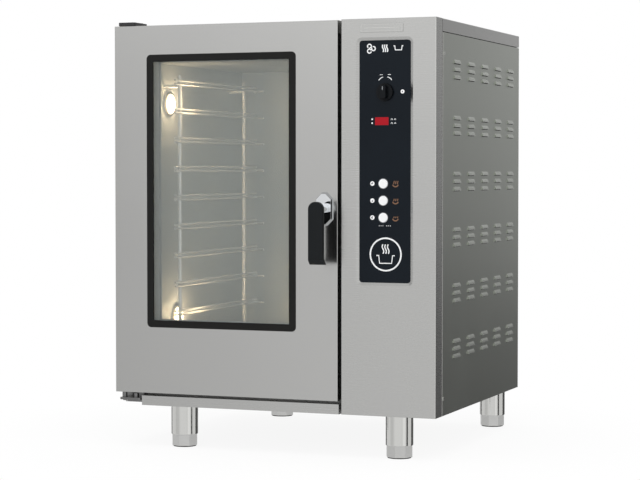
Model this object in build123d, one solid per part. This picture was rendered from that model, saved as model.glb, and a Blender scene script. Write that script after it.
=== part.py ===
from build123d import *
import math
import os

# A ten-level combi steamer oven on four levelling feet, door hung on the left, controls on the right.
# While it is built, x runs right from the door's hinge edge, y runs back from the door's front face
# and z runs up from the floor. The finished nodes are moved so that the origin is the bottom centre.
# Names that end in RISE are heights above the underside of the cabinet.

# Cabinet
BODY_WIDTH = 916.0
BODY_DEPTH = 794.0
BODY_HEIGHT = 1030.0
LEG_HEIGHT = 112.0
SHEET = 1.2
TOP_LIP = 33.0
LIP_GAP = 2.0
PAN_HEIGHT = 30.0
EDGE_ROUND = 1.6
FIT_GAP = 0.3

# Door and its window
DOOR_THICKNESS = 50.0
DOOR_RISE = 33.5
DOOR_TOP_CLEAR = 1.5
SEAL_GAP = 10.0
WINDOW_LEFT = 96.5
WINDOW_RIGHT = 117.5
WINDOW_RISE = 213.0
WINDOW_TOP = 80.0
WINDOW_RADIUS = 12.0
TRIM_WIDTH = 19.2
TRIM_PROUD = 1.5
TRIM_LIP = 4.0
TRIM_FACE = 3.0
GLASS_THICKNESS = 6.0
GLASS_GRIP = 8.0
INNER_GLASS_THICKNESS = 5.0
SPACER_WALL = 1.5

# Hinges
HINGE_X = 15.0
HINGE_Y = 25.0
HINGE_PIN_RADIUS = 5.0
RUNNING_GAP = 0.05
BUSH_WALL = 3.0
BUSH_LENGTH = 20.0
BUSH_FLANGE = 1.2
BUSH_FLANGE_RADIUS = 11.0
BRACKET_X = 8.0
BRACKET_WIDTH = 64.0
BRACKET_FRONT = 5.0
BRACKET_PLATE = 6.0
BRACKET_FOOT = 5.0
BRACKET_RISE = 12.0
BRACKET_FOOT_HEIGHT = 50.0
UPPER_BRACKET_BACK = 80.0
UPPER_BRACKET_WIDTH = 50.0
UPPER_BRACKET_PLATE = 9.0
HINGE_COLLAR_RADIUS = 7.0
PIN_HEAD = 4.0
STOP_POST_RADIUS = 7.0
STOP_POST_X = 50.0
STOP_POST_HEIGHT = 11.0

# Handle and latch
HANDLE_INSET = 36.0
HANDLE_RISE = 537.0
ROSETTE_WIDTH = 49.0
ROSETTE_HEIGHT = 88.0
ROSETTE_DEPTH = 10.0
ROSETTE_TAPER = 24.0
ROSETTE_CORNER = 17.0
SPINDLE_RADIUS = 8.0
NECK_RADIUS = 15.0
GRIP_WIDTH = 41.0
GRIP_ABOVE = 20.0
GRIP_BELOW = 143.0
GRIP_THICKNESS = 13.0
GRIP_CLEAR = 57.0
GRIP_SOCKET = 8.0
GRIP_CROWN = 19.0
GRIP_TIP = 14.0
GRIP_ROUND = 3.0
FINGER_THICKNESS = 8.0
FINGER_WIDTH = 10.0
FINGER_REACH = 18.0
FINGER_HUB = 11.0
LATCH_CLEAR = 1.0
LATCH_DEPTH = 6.0
KEEPER_SIDE_CLEAR = 3.0
KEEPER_FLANGE = 5.0
KEEPER_LIP_HEIGHT = 6.0
KEEPER_LIP_DEPTH = 4.0

# Cavity
CAVITY_X = 62.0
CAVITY_SIDE = 68.0
CAVITY_RISE = 95.0
CAVITY_TOP = 95.0
CAVITY_REAR = 69.0
LINER = 1.2
MOUTH_CHEEK = 45.0
GASKET_WIDTH = 14.0
GASKET_CLEAR = 0.5
INSULATION_GAP = 0.5

# Fan baffle, fans and heaters
FAN_SPACE = 54.0
BAFFLE_SHEET = 1.2
BAFFLE_EDGE_SLOT = 14.0
FAN_SETBACK = 330.0
FAN_INSET = 205.0
FAN_RADIUS = 130.0
FAN_BLADES = 12
FAN_DEPTH = 37.0
FAN_BACK_CLEAR = 6.0
FAN_HUB_RADIUS = 20.0
FAN_EYE_RADIUS = 62.0
GRILLE_BAR = 3.0
BLADE_SHEET = 2.0
FAN_SHAFT_RADIUS = 7.0
FAN_SHAFT_GRIP = 40.0
MOTOR_RADIUS = 65.0
MOTOR_LENGTH = 150.0
MOTOR_FLANGE_RADIUS = 80.0
MOTOR_FLANGE = 8.0
MOTOR_BOSS_RADIUS = 25.0
HEATER_TUBE_RADIUS = 4.0
HEATER_TAIL_RADIUS = 3.0
HEATER_CLEARANCE = 18.0
HEATER_TURNS = 2
HEATER_PITCH = 16.0
HEATER_TAIL = 12.0

# Tray racks
RACK_PITCH = 80.0
RACK_LOW = 62.0
RACK_HEADROOM = 48.0
RACK_PAIR_GAP = 10.0
RACK_STANDOFF = 42.0
RACK_BAFFLE_STANDOFF = 4.0
POST_RADIUS = 6.0
WIRE_RADIUS = 3.0
POST_FRONT = 180.0
POST_REAR = 95.0
POST_MARGIN = 16.0
RAIL_FRONT = 130.0
RAIL_END = 25.0
REAR_STOP = 24.0
HOOK_RADIUS = 4.0
HOOK_INSET = 30.0

# Cavity fittings
LAMP_UPPER_Y = 208.0
LAMP_UPPER_DROP = 111.0
LAMP_LOWER_Y = 257.0
LAMP_LOWER_UP = 129.0
LAMP_BEZEL_RADIUS = 36.0
LAMP_BEZEL = 5.0
LAMP_GLASS_RADIUS = 28.0
LAMP_GLASS = 6.0
LAMP_CAN_RADIUS = 26.0
LAMP_CAN_WALL = 1.5
LAMP_CAN_DEPTH = 34.0
PROBE_X = 109.0
PROBE_DROP = 55.0
PROBE_RADIUS = 4.0
PROBE_COLLAR = 3.0
PROBE_COLLAR_RADIUS = 9.0
PROBE_REACH = 34.0
PROBE_TAIL = 20.0
DRAIN_SETBACK = 330.0
DRAIN_RADIUS = 25.0
DRAIN_WALL = 2.5
SPIGOT_STEP = 0.6
DRAIN_AXIS_RISE = 62.0
DRAIN_STUB = 30.0
VENT_INSET = 170.0
VENT_SETBACK = 35.0
VENT_RADIUS = 28.0
VENT_WALL = 1.5
VENT_STUB = 35.0
STEAM_RADIUS = 4.0
STEAM_WALL = 1.0
STEAM_SETBACK = 34.8
STEAM_INSET = 28.0
STEAM_REACH = 35.0

# Control column
COLUMN_WIDTH = 258.0
COLUMN_GAP = 10.0
FLANGE_DEPTH = 54.0
GROOVE = 2.0
PANEL_MARGIN = 48.5
PANEL_WIDTH = 140.5
PANEL_RISE = 347.0
PANEL_HEAD = 56.0
PANEL_RADIUS = 8.0
PANEL_SINK = 5.0
PANEL_PLATE = 3.0
PANEL_BEVEL = 7.5
PANEL_LEDGE = 6.0
PANEL_RIM = 3.0
KNOB_INSET = 71.0
KNOB_DROP = 134.0
KNOB_RADIUS = 23.0
KNOB_DIAL = 8.0
KNOB_HEIGHT = 23.0
KNOB_BAR = 19.0
KNOB_BAR_LENGTH = 38.0
KNOB_BAR_CORNER = 7.0
KNOB_SHAFT_RADIUS = 3.0
KNOB_TAPER = 4.0
KNOB_GRIPS = 24
KNOB_ROUND = 2.0
KNOB_SKIRT = 3.0
KNOB_FLUTE_RADIUS = 1.8
KNOB_FLUTE_OUT = 0.6
BUTTON_INSET = 66.0
BUTTON_LOW = 169.0
BUTTON_PITCH = 44.0
BUTTON_RADIUS = 12.0
BUTTON_ROUND = 1.0
COLLAR_LIP = 1.5
BUTTON_TRAVEL = 2.0
BUTTON_PROUD = 3.0
BUTTON_COLLAR = 1.5
BUTTON_PLUNGER_RADIUS = 3.0
BEZEL_WIDTH = 1.2
BEZEL_PROUD = 1.2
LENS_INSET = 36.0
LENS_RADIUS = 5.8
LENS_PROUD = 0.5
START_INSET = 118.0
START_ABOVE = 1.0
START_LENS_RADIUS = 5.2
DISPLAY_INSET = 43.0
DISPLAY_DROP = 85.0
DISPLAY_WIDTH = 37.0
DISPLAY_HEIGHT = 20.5
BOARD_Y = 24.0
BOARD_THICKNESS = 1.6
BOARD_LOW = 133.0
BOARD_ABOVE = 60.0
SWITCH_SIZE = 12.0
STANDOFF_RADIUS = 2.5
BADGE_INSET = 3.5
BADGE_HEAD = 36.0
BADGE_WIDTH = 118.0
BADGE_HEIGHT = 23.0
BADGE_PROUD = 1.5
BADGE_CORNER = 3.0
BADGE_EDGE = 0.6

# Drip tray under the door
DRIP_X = 79.0
DRIP_END_GAP = 7.0
DRIP_HEIGHT = 26.0
DRIP_SHEET = 1.5

# Louvres in the right side panel
LOUVRE_COLUMN_PITCH = 129.3
LOUVRE_FIRST_Y = 182.0
LOUVRE_TAIL = 80.0
LOUVRE_CLUSTER_PITCH = 147.2
LOUVRE_SLATS = 3
LOUVRE_SLAT_PITCH = 20.0
LOUVRE_HEAD = 111.0
LOUVRE_FOOT = 100.0
LOUVRE_LENGTH = 56.0
LOUVRE_HEIGHT = 10.0
LOUVRE_PROUD = 4.5
LOUVRE_KNEE_OUT = 0.7
LOUVRE_KNEE_UP = 0.45
LOUVRE_WALL = 1.0
LOUVRE_MOUTH_DROP = 0.01

# Levelling legs
LEG_LEFT = 184.0
LEG_FRONT_RIGHT_INSET = 114.0
LEG_REAR_RIGHT_INSET = 65.0
LEG_FRONT = 50.0
LEG_BACK_INSET = 44.0
SLEEVE_RADIUS = 36.5
SLEEVE_WALL = 2.5
SLEEVE_HEIGHT = 79.0
SLEEVE_ROUND = 2.0
SLEEVE_CAP = 3.0
NUT_PLATE = 8.0
NUT_CLEAR = 6.0
STEM_RADIUS = 8.0
FOOT_RADIUS = 33.0
FOOT_SIDES = 8
FOOT_INSERT = 24.0
FOOT_PAD = 3.0
FOOT_PAD_RADIUS = 31.0
FOOT_TRAVEL = 25.0

# Services in the rear panel and the right-hand compartment
WATER_INSET = 116.0
WATER_RISE = 120.0
WATER_RADIUS = 13.2
WATER_STUB = 15.0
VALVE_SIZE = 40.0
GLAND_INSET = 54.0
GLAND_RISE = 120.0
GLAND_RADIUS = 15.0
GLAND_ROUND = 3.0
GLAND_BORE = 7.0
GLAND_STUB = 18.0
CONTACTOR_Y = 90.0
CONTACTOR_RISE = 560.0
CONTACTOR_SIZE = (86.0, 78.0, 84.0)
TERMINAL_INSET = 154.0
TERMINAL_RISE = 90.0
TERMINAL_SIZE = (52.0, 110.0, 46.0)
TERMINAL_WAYS = 6
TERMINAL_HOLE = 5.0
SCREW_RADIUS = 5.0
SCREW_HEAD = 2.0
SCREW_INSET = 12.0
SIDE_SCREW_LOW = 45.0
SIDE_SCREW_HEAD = 90.0

# Places worked out from the sizes above
BASE_Z = LEG_HEIGHT
TOP_Z = LEG_HEIGHT + BODY_HEIGHT
FRAME_Y = DOOR_THICKNESS + SEAL_GAP
FRAME_BACK = FRAME_Y + SHEET
REAR_Y = BODY_DEPTH - SHEET
PAN_TOP = BASE_Z + PAN_HEIGHT
LIP_Z = TOP_Z - TOP_LIP
PANEL_TOP_Z = LIP_Z - LIP_GAP
COLUMN_X = BODY_WIDTH - COLUMN_WIDTH
DOOR_WIDTH = COLUMN_X - COLUMN_GAP
DIVIDER_BACK = COLUMN_X + SHEET
SIDE_Y = FLANGE_DEPTH + GROOVE
DOOR_Z0 = BASE_Z + DOOR_RISE
DOOR_Z1 = TOP_Z - DOOR_TOP_CLEAR
HANDLE_X = DOOR_WIDTH - HANDLE_INSET
HANDLE_Z = BASE_Z + HANDLE_RISE
BUSH_RADIUS = HINGE_PIN_RADIUS + RUNNING_GAP + BUSH_WALL
WINDOW = (WINDOW_LEFT, DOOR_WIDTH - WINDOW_RIGHT, BASE_Z + WINDOW_RISE, TOP_Z - WINDOW_TOP)
OUTER_GLASS_BACK = TRIM_FACE + GLASS_THICKNESS
INNER_PANEL_Y = DOOR_THICKNESS - SHEET
INNER_GLASS_Y = INNER_PANEL_Y - INNER_GLASS_THICKNESS
CAVITY_RIGHT = COLUMN_X - CAVITY_SIDE
CAVITY_BACK = BODY_DEPTH - CAVITY_REAR
CAVITY_TOP_RISE = BODY_HEIGHT - CAVITY_TOP
CAVITY_Z0 = BASE_Z + CAVITY_RISE
CAVITY_Z1 = BASE_Z + CAVITY_TOP_RISE
MOUTH = (CAVITY_X, CAVITY_RIGHT - MOUTH_CHEEK, CAVITY_Z0, CAVITY_Z1)
FINGER_Y = FRAME_Y + LATCH_DEPTH
FINGER_BACK = FINGER_Y + FINGER_THICKNESS
KEEPER_X0 = HANDLE_X - FINGER_HUB - KEEPER_SIDE_CLEAR
KEEPER_X1 = HANDLE_X + FINGER_REACH + 2 * KEEPER_SIDE_CLEAR
KEEPER_Z0 = HANDLE_Z - FINGER_HUB - KEEPER_SIDE_CLEAR
KEEPER_LIP_Z = HANDLE_Z + FINGER_REACH + LATCH_CLEAR
KEEPER_Z1 = KEEPER_LIP_Z + KEEPER_LIP_HEIGHT
KEEPER_BACK = FINGER_BACK + KEEPER_SIDE_CLEAR
BAFFLE_X = CAVITY_RIGHT - FAN_SPACE
FAN_Y = CAVITY_BACK - FAN_SETBACK
FAN_RISES = (CAVITY_RISE + FAN_INSET, CAVITY_TOP_RISE - FAN_INSET)
FAN_BACK_X = CAVITY_RIGHT - FAN_BACK_CLEAR
FAN_FRONT_X = FAN_BACK_X - FAN_DEPTH
MOTOR_X = DIVIDER_BACK
DRAIN_X = (CAVITY_X + CAVITY_RIGHT) / 2
DRAIN_Y = CAVITY_BACK - DRAIN_SETBACK
VENT_X = CAVITY_RIGHT - VENT_INSET
VENT_Y = CAVITY_BACK - VENT_SETBACK
VENT_BORE = VENT_RADIUS - SPIGOT_STEP - VENT_WALL
STEAM_X = BAFFLE_X + STEAM_INSET
STEAM_Y = REAR_Y - STEAM_SETBACK
STEAM_RISE = (CAVITY_RISE + CAVITY_TOP_RISE) / 2
STEAM_END_Y = CAVITY_BACK - STEAM_REACH
PROBE_RISE = CAVITY_TOP_RISE - PROBE_DROP
LAMP_PLACES = (
    (LAMP_UPPER_Y, CAVITY_TOP_RISE - LAMP_UPPER_DROP),
    (LAMP_LOWER_Y, CAVITY_RISE + LAMP_LOWER_UP),
)
RACK_LOW_RISE = CAVITY_RISE + RACK_LOW
RACK_LEVELS = 1 + int((CAVITY_TOP_RISE - RACK_HEADROOM - RACK_LOW_RISE) // RACK_PITCH)
POST_YS = (POST_FRONT, CAVITY_BACK - POST_REAR)
RAIL_BACK = CAVITY_BACK - RAIL_END
LEFT_POST_X = CAVITY_X + RACK_STANDOFF + POST_RADIUS
RIGHT_POST_X = BAFFLE_X - RACK_BAFFLE_STANDOFF - POST_RADIUS
PANEL_X = COLUMN_X + PANEL_MARGIN
PANEL_HEAD_RISE = BODY_HEIGHT - PANEL_HEAD
PANEL_HEIGHT = PANEL_HEAD_RISE - PANEL_RISE
PANEL = (PANEL_X, PANEL_X + PANEL_WIDTH, BASE_Z + PANEL_RISE, BASE_Z + PANEL_HEAD_RISE)
PANEL_BACK = PANEL_SINK + PANEL_PLATE
LEDGE_BACK = PANEL_BACK + SHEET
KNOB_X = PANEL_X + KNOB_INSET
KNOB_RISE = PANEL_HEAD_RISE - KNOB_DROP
BUTTON_X = PANEL_X + BUTTON_INSET
BUTTON_RISES = tuple(PANEL_RISE + BUTTON_LOW + row * BUTTON_PITCH for row in (2, 1, 0))
LENS_X = PANEL_X + LENS_INSET
START_LENS = (PANEL_X + START_INSET, KNOB_RISE + START_ABOVE)
DISPLAY_X = PANEL_X + DISPLAY_INSET
DISPLAY_Z = BASE_Z + KNOB_RISE - DISPLAY_DROP
DISPLAY = (DISPLAY_X, DISPLAY_X + DISPLAY_WIDTH, DISPLAY_Z, DISPLAY_Z + DISPLAY_HEIGHT)
BOARD_RISE = PANEL_RISE + BOARD_LOW
BOARD_HEIGHT = KNOB_RISE + BOARD_ABOVE - BOARD_RISE
BADGE_X = PANEL_X + BADGE_INSET
BADGE_RISE = BODY_HEIGHT - BADGE_HEAD
DRIP_WIDTH = COLUMN_X - DRIP_END_GAP - DRIP_X
LOUVRE_TOP_RISE = BODY_HEIGHT - LOUVRE_HEAD
LOUVRE_COLUMNS = 1 + int((BODY_DEPTH - LOUVRE_TAIL - LOUVRE_FIRST_Y) // LOUVRE_COLUMN_PITCH)
LOUVRE_CLUSTERS = 1 + int((LOUVRE_TOP_RISE - LOUVRE_FOOT) // LOUVRE_CLUSTER_PITCH)
WATER_X = BODY_WIDTH - WATER_INSET
GLAND_X = BODY_WIDTH - GLAND_INSET
TERMINAL_Y = BODY_DEPTH - TERMINAL_INSET
SIDE_SCREW_RISES = (SIDE_SCREW_LOW, BODY_HEIGHT - SIDE_SCREW_HEAD)
LEG_BACK = BODY_DEPTH - LEG_BACK_INSET
COLLAR_RADIUS = BUTTON_RADIUS + 2 * FIT_GAP + COLLAR_LIP
LEG_PLACES = {
    "front_left": (LEG_LEFT, LEG_FRONT),
    "front_right": (BODY_WIDTH - LEG_FRONT_RIGHT_INSET, LEG_FRONT),
    "rear_left": (LEG_LEFT, LEG_BACK),
    "rear_right": (BODY_WIDTH - LEG_REAR_RIGHT_INSET, LEG_BACK),
}
SLEEVE_Z = BASE_Z - SLEEVE_HEIGHT
NUT_Z = BASE_Z - SLEEVE_CAP - NUT_CLEAR - FOOT_TRAVEL - NUT_PLATE
DRAIN_CHORD = (DRAIN_RADIUS - DRAIN_WALL) * math.sqrt(0.5)
VENT_CHORD = VENT_BORE * math.sqrt(0.5)
GRIP_FRONT = GRIP_CLEAR + GRIP_THICKNESS
ORIGIN_X = (BODY_WIDTH + LOUVRE_PROUD) / 2
ORIGIN_Y = (BODY_DEPTH + DRAIN_STUB - GRIP_FRONT) / 2


def block(x0, x1, y0, y1, z0, z1):
    """A box between two corners."""
    centre = Pos((x0 + x1) / 2, (y0 + y1) / 2, (z0 + z1) / 2)
    return centre * Box(x1 - x0, y1 - y0, z1 - z0)


def rod_x(x0, x1, y, z, radius):
    """A round bar along x."""
    return Pos((x0 + x1) / 2, y, z) * Rot(0, 90, 0) * Cylinder(radius, x1 - x0)


def rod_y(x, y0, y1, z, radius):
    """A round bar along y."""
    return Pos(x, (y0 + y1) / 2, z) * Rot(90, 0, 0) * Cylinder(radius, y1 - y0)


def rod_z(x, y, z0, z1, radius):
    """A round bar along z."""
    return Pos(x, y, (z0 + z1) / 2) * Cylinder(radius, z1 - z0)


def inset(rect, distance):
    """A rectangle (x0, x1, z0, z1) drawn in by a distance on every side."""
    return (rect[0] + distance, rect[1] - distance, rect[2] + distance, rect[3] - distance)


def plate(rect, y0, y1, radius=0.0):
    """An upright plate over a rectangle, from y0 back to y1, with rounded corners if wanted."""
    x0, x1, z0, z1 = rect
    outline = Rectangle(x1 - x0, z1 - z0)
    if radius > 0:
        outline = RectangleRounded(x1 - x0, z1 - z0, radius)
    face = Plane.XZ.offset(-y1) * Pos((x0 + x1) / 2, (z0 + z1) / 2) * outline
    return extrude(face, amount=y1 - y0)


def frame_plate(rect, outer, inner, y0, y1, radius=0.0):
    """An upright ring between two insets of a rectangle."""
    outside = plate(inset(rect, outer), y0, y1, max(radius - outer, 0.0))
    hole = plate(inset(rect, inner), y0 - 1, y1 + 1, max(radius - inner, 0.0))
    return outside - hole


def group(*solids):
    """Separate solids that share one node."""
    return Compound(children=[piece for solid in solids for piece in solid.solids()])


def round_front(shape, radius):
    """Rounds the edges round the front face of a folded sheet box."""
    return fillet(shape.faces().sort_by(Axis.Y)[0].outer_wire().edges(), radius)


def base_pan():
    outside = block(SHEET, BODY_WIDTH - SHEET, FRAME_Y, REAR_Y, BASE_Z, PAN_TOP)
    inside = block(2 * SHEET, BODY_WIDTH - 2 * SHEET, FRAME_BACK, REAR_Y - SHEET, BASE_Z + SHEET, PAN_TOP)
    return outside - inside


def leg_sleeves():
    """Tubes with a cap against the cabinet and, further down, a plate that carries the nut."""
    sleeves = []
    bore = SLEEVE_RADIUS - SLEEVE_WALL
    for x, y in LEG_PLACES.values():
        tube = rod_z(x, y, SLEEVE_Z, BASE_Z, SLEEVE_RADIUS)
        tube = fillet(tube.edges().sort_by(Axis.Z)[0], SLEEVE_ROUND)
        tube -= rod_z(x, y, SLEEVE_Z - 1, NUT_Z, bore)
        tube -= rod_z(x, y, NUT_Z + NUT_PLATE, BASE_Z - SLEEVE_CAP, bore)
        tube -= rod_z(x, y, NUT_Z - 1, NUT_Z + NUT_PLATE + 1, STEM_RADIUS + RUNNING_GAP)
        sleeves.append(tube)
    return group(*sleeves)


def levelling_foot(x, y):
    shank = rod_z(x, y, SLEEVE_Z, SLEEVE_Z + FOOT_INSERT, FOOT_RADIUS - 1)
    stem = rod_z(x, y, SLEEVE_Z, NUT_Z + NUT_PLATE + FOOT_TRAVEL, STEM_RADIUS)
    outline = RegularPolygon(FOOT_RADIUS, FOOT_SIDES, major_radius=False)
    head = extrude(Plane.XY.offset(FOOT_PAD) * Pos(x, y) * outline, amount=SLEEVE_Z - FOOT_PAD)
    pad = rod_z(x, y, 0, FOOT_PAD, FOOT_PAD_RADIUS)
    return group(head + shank + stem, pad)


def side_panel_left():
    return block(0, SHEET, FRAME_Y, REAR_Y, BASE_Z, PANEL_TOP_Z)


def louvre_hood(y, z, wall):
    """A pressed hood that slopes out and opens downwards; wall thins it from inside."""
    proud = LOUVRE_PROUD - wall
    half = LOUVRE_LENGTH / 2 - wall
    x0 = BODY_WIDTH - SHEET - wall
    base = Plane.YZ.offset(x0) * Pos(y, z + LOUVRE_HEIGHT / 2) * Rectangle(2 * half, LOUVRE_HEIGHT)
    hood = extrude(base, amount=SHEET + wall + proud)
    knee = (proud * LOUVRE_KNEE_OUT, LOUVRE_HEIGHT * LOUVRE_KNEE_UP)
    top = LOUVRE_HEIGHT - wall
    profile = Polygon((-SHEET - wall, 0), (proud, 0), knee, (0, top), (-SHEET - wall, top), align=None)
    side = Plane.XZ.offset(-(y + half)) * Pos(BODY_WIDTH, z) * profile
    return hood & extrude(side, amount=2 * half)


def side_panel_right():
    panel = block(BODY_WIDTH - SHEET, BODY_WIDTH, SIDE_Y, REAR_Y, BASE_Z, PANEL_TOP_Z)
    hoods = []
    slots = []
    for column in range(LOUVRE_COLUMNS):
        y = LOUVRE_FIRST_Y + column * LOUVRE_COLUMN_PITCH
        for cluster in range(LOUVRE_CLUSTERS):
            for slat in range(LOUVRE_SLATS):
                rise = LOUVRE_TOP_RISE - cluster * LOUVRE_CLUSTER_PITCH - slat * LOUVRE_SLAT_PITCH
                hoods.append(louvre_hood(y, BASE_Z + rise, 0.0))
                slots.append(louvre_hood(y, BASE_Z + rise - LOUVRE_MOUTH_DROP, LOUVRE_WALL))
    return panel + hoods - slots


def rear_panel():
    """A large sheet above and two aprons below, which leave a notch round the drain pipe."""
    notch = DRAIN_RADIUS + FIT_GAP
    apron_top = BASE_Z + DRAIN_AXIS_RISE + notch
    sheet = block(0, BODY_WIDTH, REAR_Y, BODY_DEPTH, apron_top, PANEL_TOP_Z)
    sheet -= rod_y(WATER_X, REAR_Y - 1, BODY_DEPTH + 1, BASE_Z + WATER_RISE, WATER_RADIUS - FIT_GAP)
    sheet -= rod_y(GLAND_X, REAR_Y - 1, BODY_DEPTH + 1, BASE_Z + GLAND_RISE, GLAND_BORE + 1)
    left = block(0, DRAIN_X - notch, REAR_Y, BODY_DEPTH, BASE_Z, apron_top)
    right = block(DRAIN_X + notch, BODY_WIDTH, REAR_Y, BODY_DEPTH, BASE_Z, apron_top)
    return group(sheet, left, right)


def top_cover():
    outside = block(0, BODY_WIDTH, SIDE_Y, BODY_DEPTH, LIP_Z, TOP_Z)
    outside = fillet(outside.edges().filter_by(Axis.Y).sort_by(Axis.Z)[-2:], EDGE_ROUND)
    inside = block(SHEET, BODY_WIDTH - SHEET, SIDE_Y + SHEET, BODY_DEPTH - SHEET, LIP_Z, TOP_Z - SHEET)
    return outside - inside - rod_z(VENT_X, VENT_Y, LIP_Z, TOP_Z + 1, VENT_RADIUS - FIT_GAP)


def divider():
    wall = block(COLUMN_X, DIVIDER_BACK, FRAME_BACK, REAR_Y, PAN_TOP, TOP_Z - SHEET)
    for rise in FAN_RISES:
        wall -= rod_x(COLUMN_X - 1, DIVIDER_BACK + 1, FAN_Y, BASE_Z + rise, MOTOR_BOSS_RADIUS + FIT_GAP)
        for y in heater_tails():
            wall -= rod_x(COLUMN_X - 1, DIVIDER_BACK + 1, y, BASE_Z + rise, HEATER_TAIL_RADIUS + FIT_GAP)
    wall -= rod_x(COLUMN_X - 1, DIVIDER_BACK + 1, STEAM_Y, BASE_Z + STEAM_RISE, STEAM_RADIUS + FIT_GAP)
    return wall


def plates_round_hole(x0, x1, y0, y1, z0, z1, x, y, half):
    """A level plate in four parts round a square hole."""
    left = block(x0, x - half, y0, y1, z0, z1)
    right = block(x + half, x1, y0, y1, z0, z1)
    front = block(x - half, x + half, y0, y - half, z0, z1)
    back = block(x - half, x + half, y + half, y1, z0, z1)
    return [left, right, front, back]


def front_frame():
    """Flat strips round the mouth of the cavity and round the hole for the latch."""
    top = TOP_Z - SHEET
    x0, x1, z0, z1 = MOUTH
    hole_x0 = KEEPER_X0 - SHEET
    hole_x1 = KEEPER_X1 + SHEET
    hole_z0 = KEEPER_Z0 - SHEET
    hole_z1 = KEEPER_Z1 + SHEET
    strips = [(SHEET, x0, PAN_TOP, top), (x0, x1, PAN_TOP, z0), (x0, x1, z1, top)]
    strips += [(x1, hole_x0, PAN_TOP, top), (hole_x1, DIVIDER_BACK, PAN_TOP, top)]
    strips += [(hole_x0, hole_x1, PAN_TOP, hole_z0), (hole_x0, hole_x1, hole_z1, top)]
    return group(*(plate(strip, FRAME_Y, FRAME_BACK) for strip in strips))


def cavity_liner():
    """A box open at the front, folded from plain sheets; the drain and the vent have square holes."""
    x0 = CAVITY_X
    x1 = CAVITY_RIGHT
    y0 = FRAME_BACK
    y1 = CAVITY_BACK
    low = CAVITY_Z0 - LINER
    high = CAVITY_Z1 + LINER
    left = block(x0 - LINER, x0, y0, y1 + LINER, low, high)
    for y, rise in LAMP_PLACES:
        left -= rod_x(x0 - LINER - 1, x0 + 1, y, BASE_Z + rise, LAMP_CAN_RADIUS)
    right = block(x1, x1 + LINER, y0, y1 + LINER, low, high)
    for rise in FAN_RISES:
        right -= rod_x(x1 - 1, x1 + LINER + 1, FAN_Y, BASE_Z + rise, MOTOR_BOSS_RADIUS)
        for y in heater_tails():
            right -= rod_x(x1 - 1, x1 + LINER + 1, y, BASE_Z + rise, HEATER_TAIL_RADIUS)
    back = block(x0, x1, y1, y1 + LINER, low, high)
    back -= rod_y(PROBE_X, y1 - 1, y1 + LINER + 1, BASE_Z + PROBE_RISE, PROBE_RADIUS)
    back -= rod_y(STEAM_X, y1 - 1, y1 + LINER + 1, BASE_Z + STEAM_RISE, STEAM_RADIUS)
    floor = plates_round_hole(x0, x1, y0, y1, low, CAVITY_Z0, DRAIN_X, DRAIN_Y, DRAIN_CHORD)
    roof = plates_round_hole(x0, x1, y0, y1, CAVITY_Z1, high, VENT_X, VENT_Y, VENT_CHORD)
    return group(left, right, back, *floor, *roof)


def insulation_jacket():
    """Mineral wool boards on five sides of the liner, drilled for what passes through them."""
    x0 = SHEET + INSULATION_GAP
    x1 = COLUMN_X - INSULATION_GAP
    y0 = FRAME_BACK + INSULATION_GAP
    y1 = REAR_Y - INSULATION_GAP
    z0 = PAN_TOP + INSULATION_GAP
    z1 = TOP_Z - SHEET - INSULATION_GAP
    side = LINER + INSULATION_GAP
    back = CAVITY_BACK + side
    left = block(x0, CAVITY_X - side, y0, y1, z0, z1)
    for y, rise in LAMP_PLACES:
        left -= rod_x(x0 - 1, CAVITY_X, y, BASE_Z + rise, LAMP_CAN_RADIUS + INSULATION_GAP)
    right = block(CAVITY_RIGHT + side, x1, y0, y1, z0, z1)
    pocket = (KEEPER_X0 - side, x1 + 1, KEEPER_Z0 - side, KEEPER_Z1 + side)
    right -= plate(pocket, y0 - 1, KEEPER_BACK + side)
    for rise in FAN_RISES:
        right -= rod_x(CAVITY_RIGHT, x1 + 1, FAN_Y, BASE_Z + rise, MOTOR_BOSS_RADIUS + INSULATION_GAP)
        for y in heater_tails():
            right -= rod_x(CAVITY_RIGHT, x1 + 1, y, BASE_Z + rise, HEATER_TAIL_RADIUS + INSULATION_GAP)
    right -= rod_x(CAVITY_RIGHT, x1 + 1, STEAM_Y, BASE_Z + STEAM_RISE, STEAM_RADIUS + INSULATION_GAP)
    mid0 = CAVITY_X - LINER
    mid1 = CAVITY_RIGHT + LINER
    bottom = block(mid0, mid1, y0, y1, z0, CAVITY_Z0 - side)
    drain_z = BASE_Z + DRAIN_AXIS_RISE
    bottom -= rod_y(DRAIN_X, DRAIN_Y - DRAIN_RADIUS - 1, y1 + 1, drain_z, DRAIN_RADIUS + INSULATION_GAP)
    bottom -= rod_z(DRAIN_X, DRAIN_Y, drain_z, CAVITY_Z0, DRAIN_RADIUS + INSULATION_GAP)
    top = block(mid0, mid1, y0, y1, CAVITY_Z1 + side, z1)
    top -= rod_z(VENT_X, VENT_Y, CAVITY_Z1, TOP_Z, VENT_RADIUS + INSULATION_GAP)
    rear = block(mid0, mid1, back, y1, CAVITY_Z0 - side, CAVITY_Z1 + side)
    probe_z = BASE_Z + PROBE_RISE
    rear -= rod_y(PROBE_X, back - 1, back + PROBE_TAIL + 1, probe_z, PROBE_COLLAR_RADIUS + INSULATION_GAP)
    steam_z = BASE_Z + STEAM_RISE
    rear -= rod_x(STEAM_X - STEAM_RADIUS, mid1 + 1, STEAM_Y, steam_z, STEAM_RADIUS + INSULATION_GAP)
    rear -= rod_y(STEAM_X, back - 1, STEAM_Y + STEAM_RADIUS, steam_z, STEAM_RADIUS + INSULATION_GAP)
    return group(left, right, bottom, top, rear)


def door_gasket():
    seal = frame_plate(MOUTH, -GASKET_WIDTH, 0.0, DOOR_THICKNESS + GASKET_CLEAR, FRAME_Y)
    return round_front(seal, GASKET_WIDTH / 4)


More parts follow.
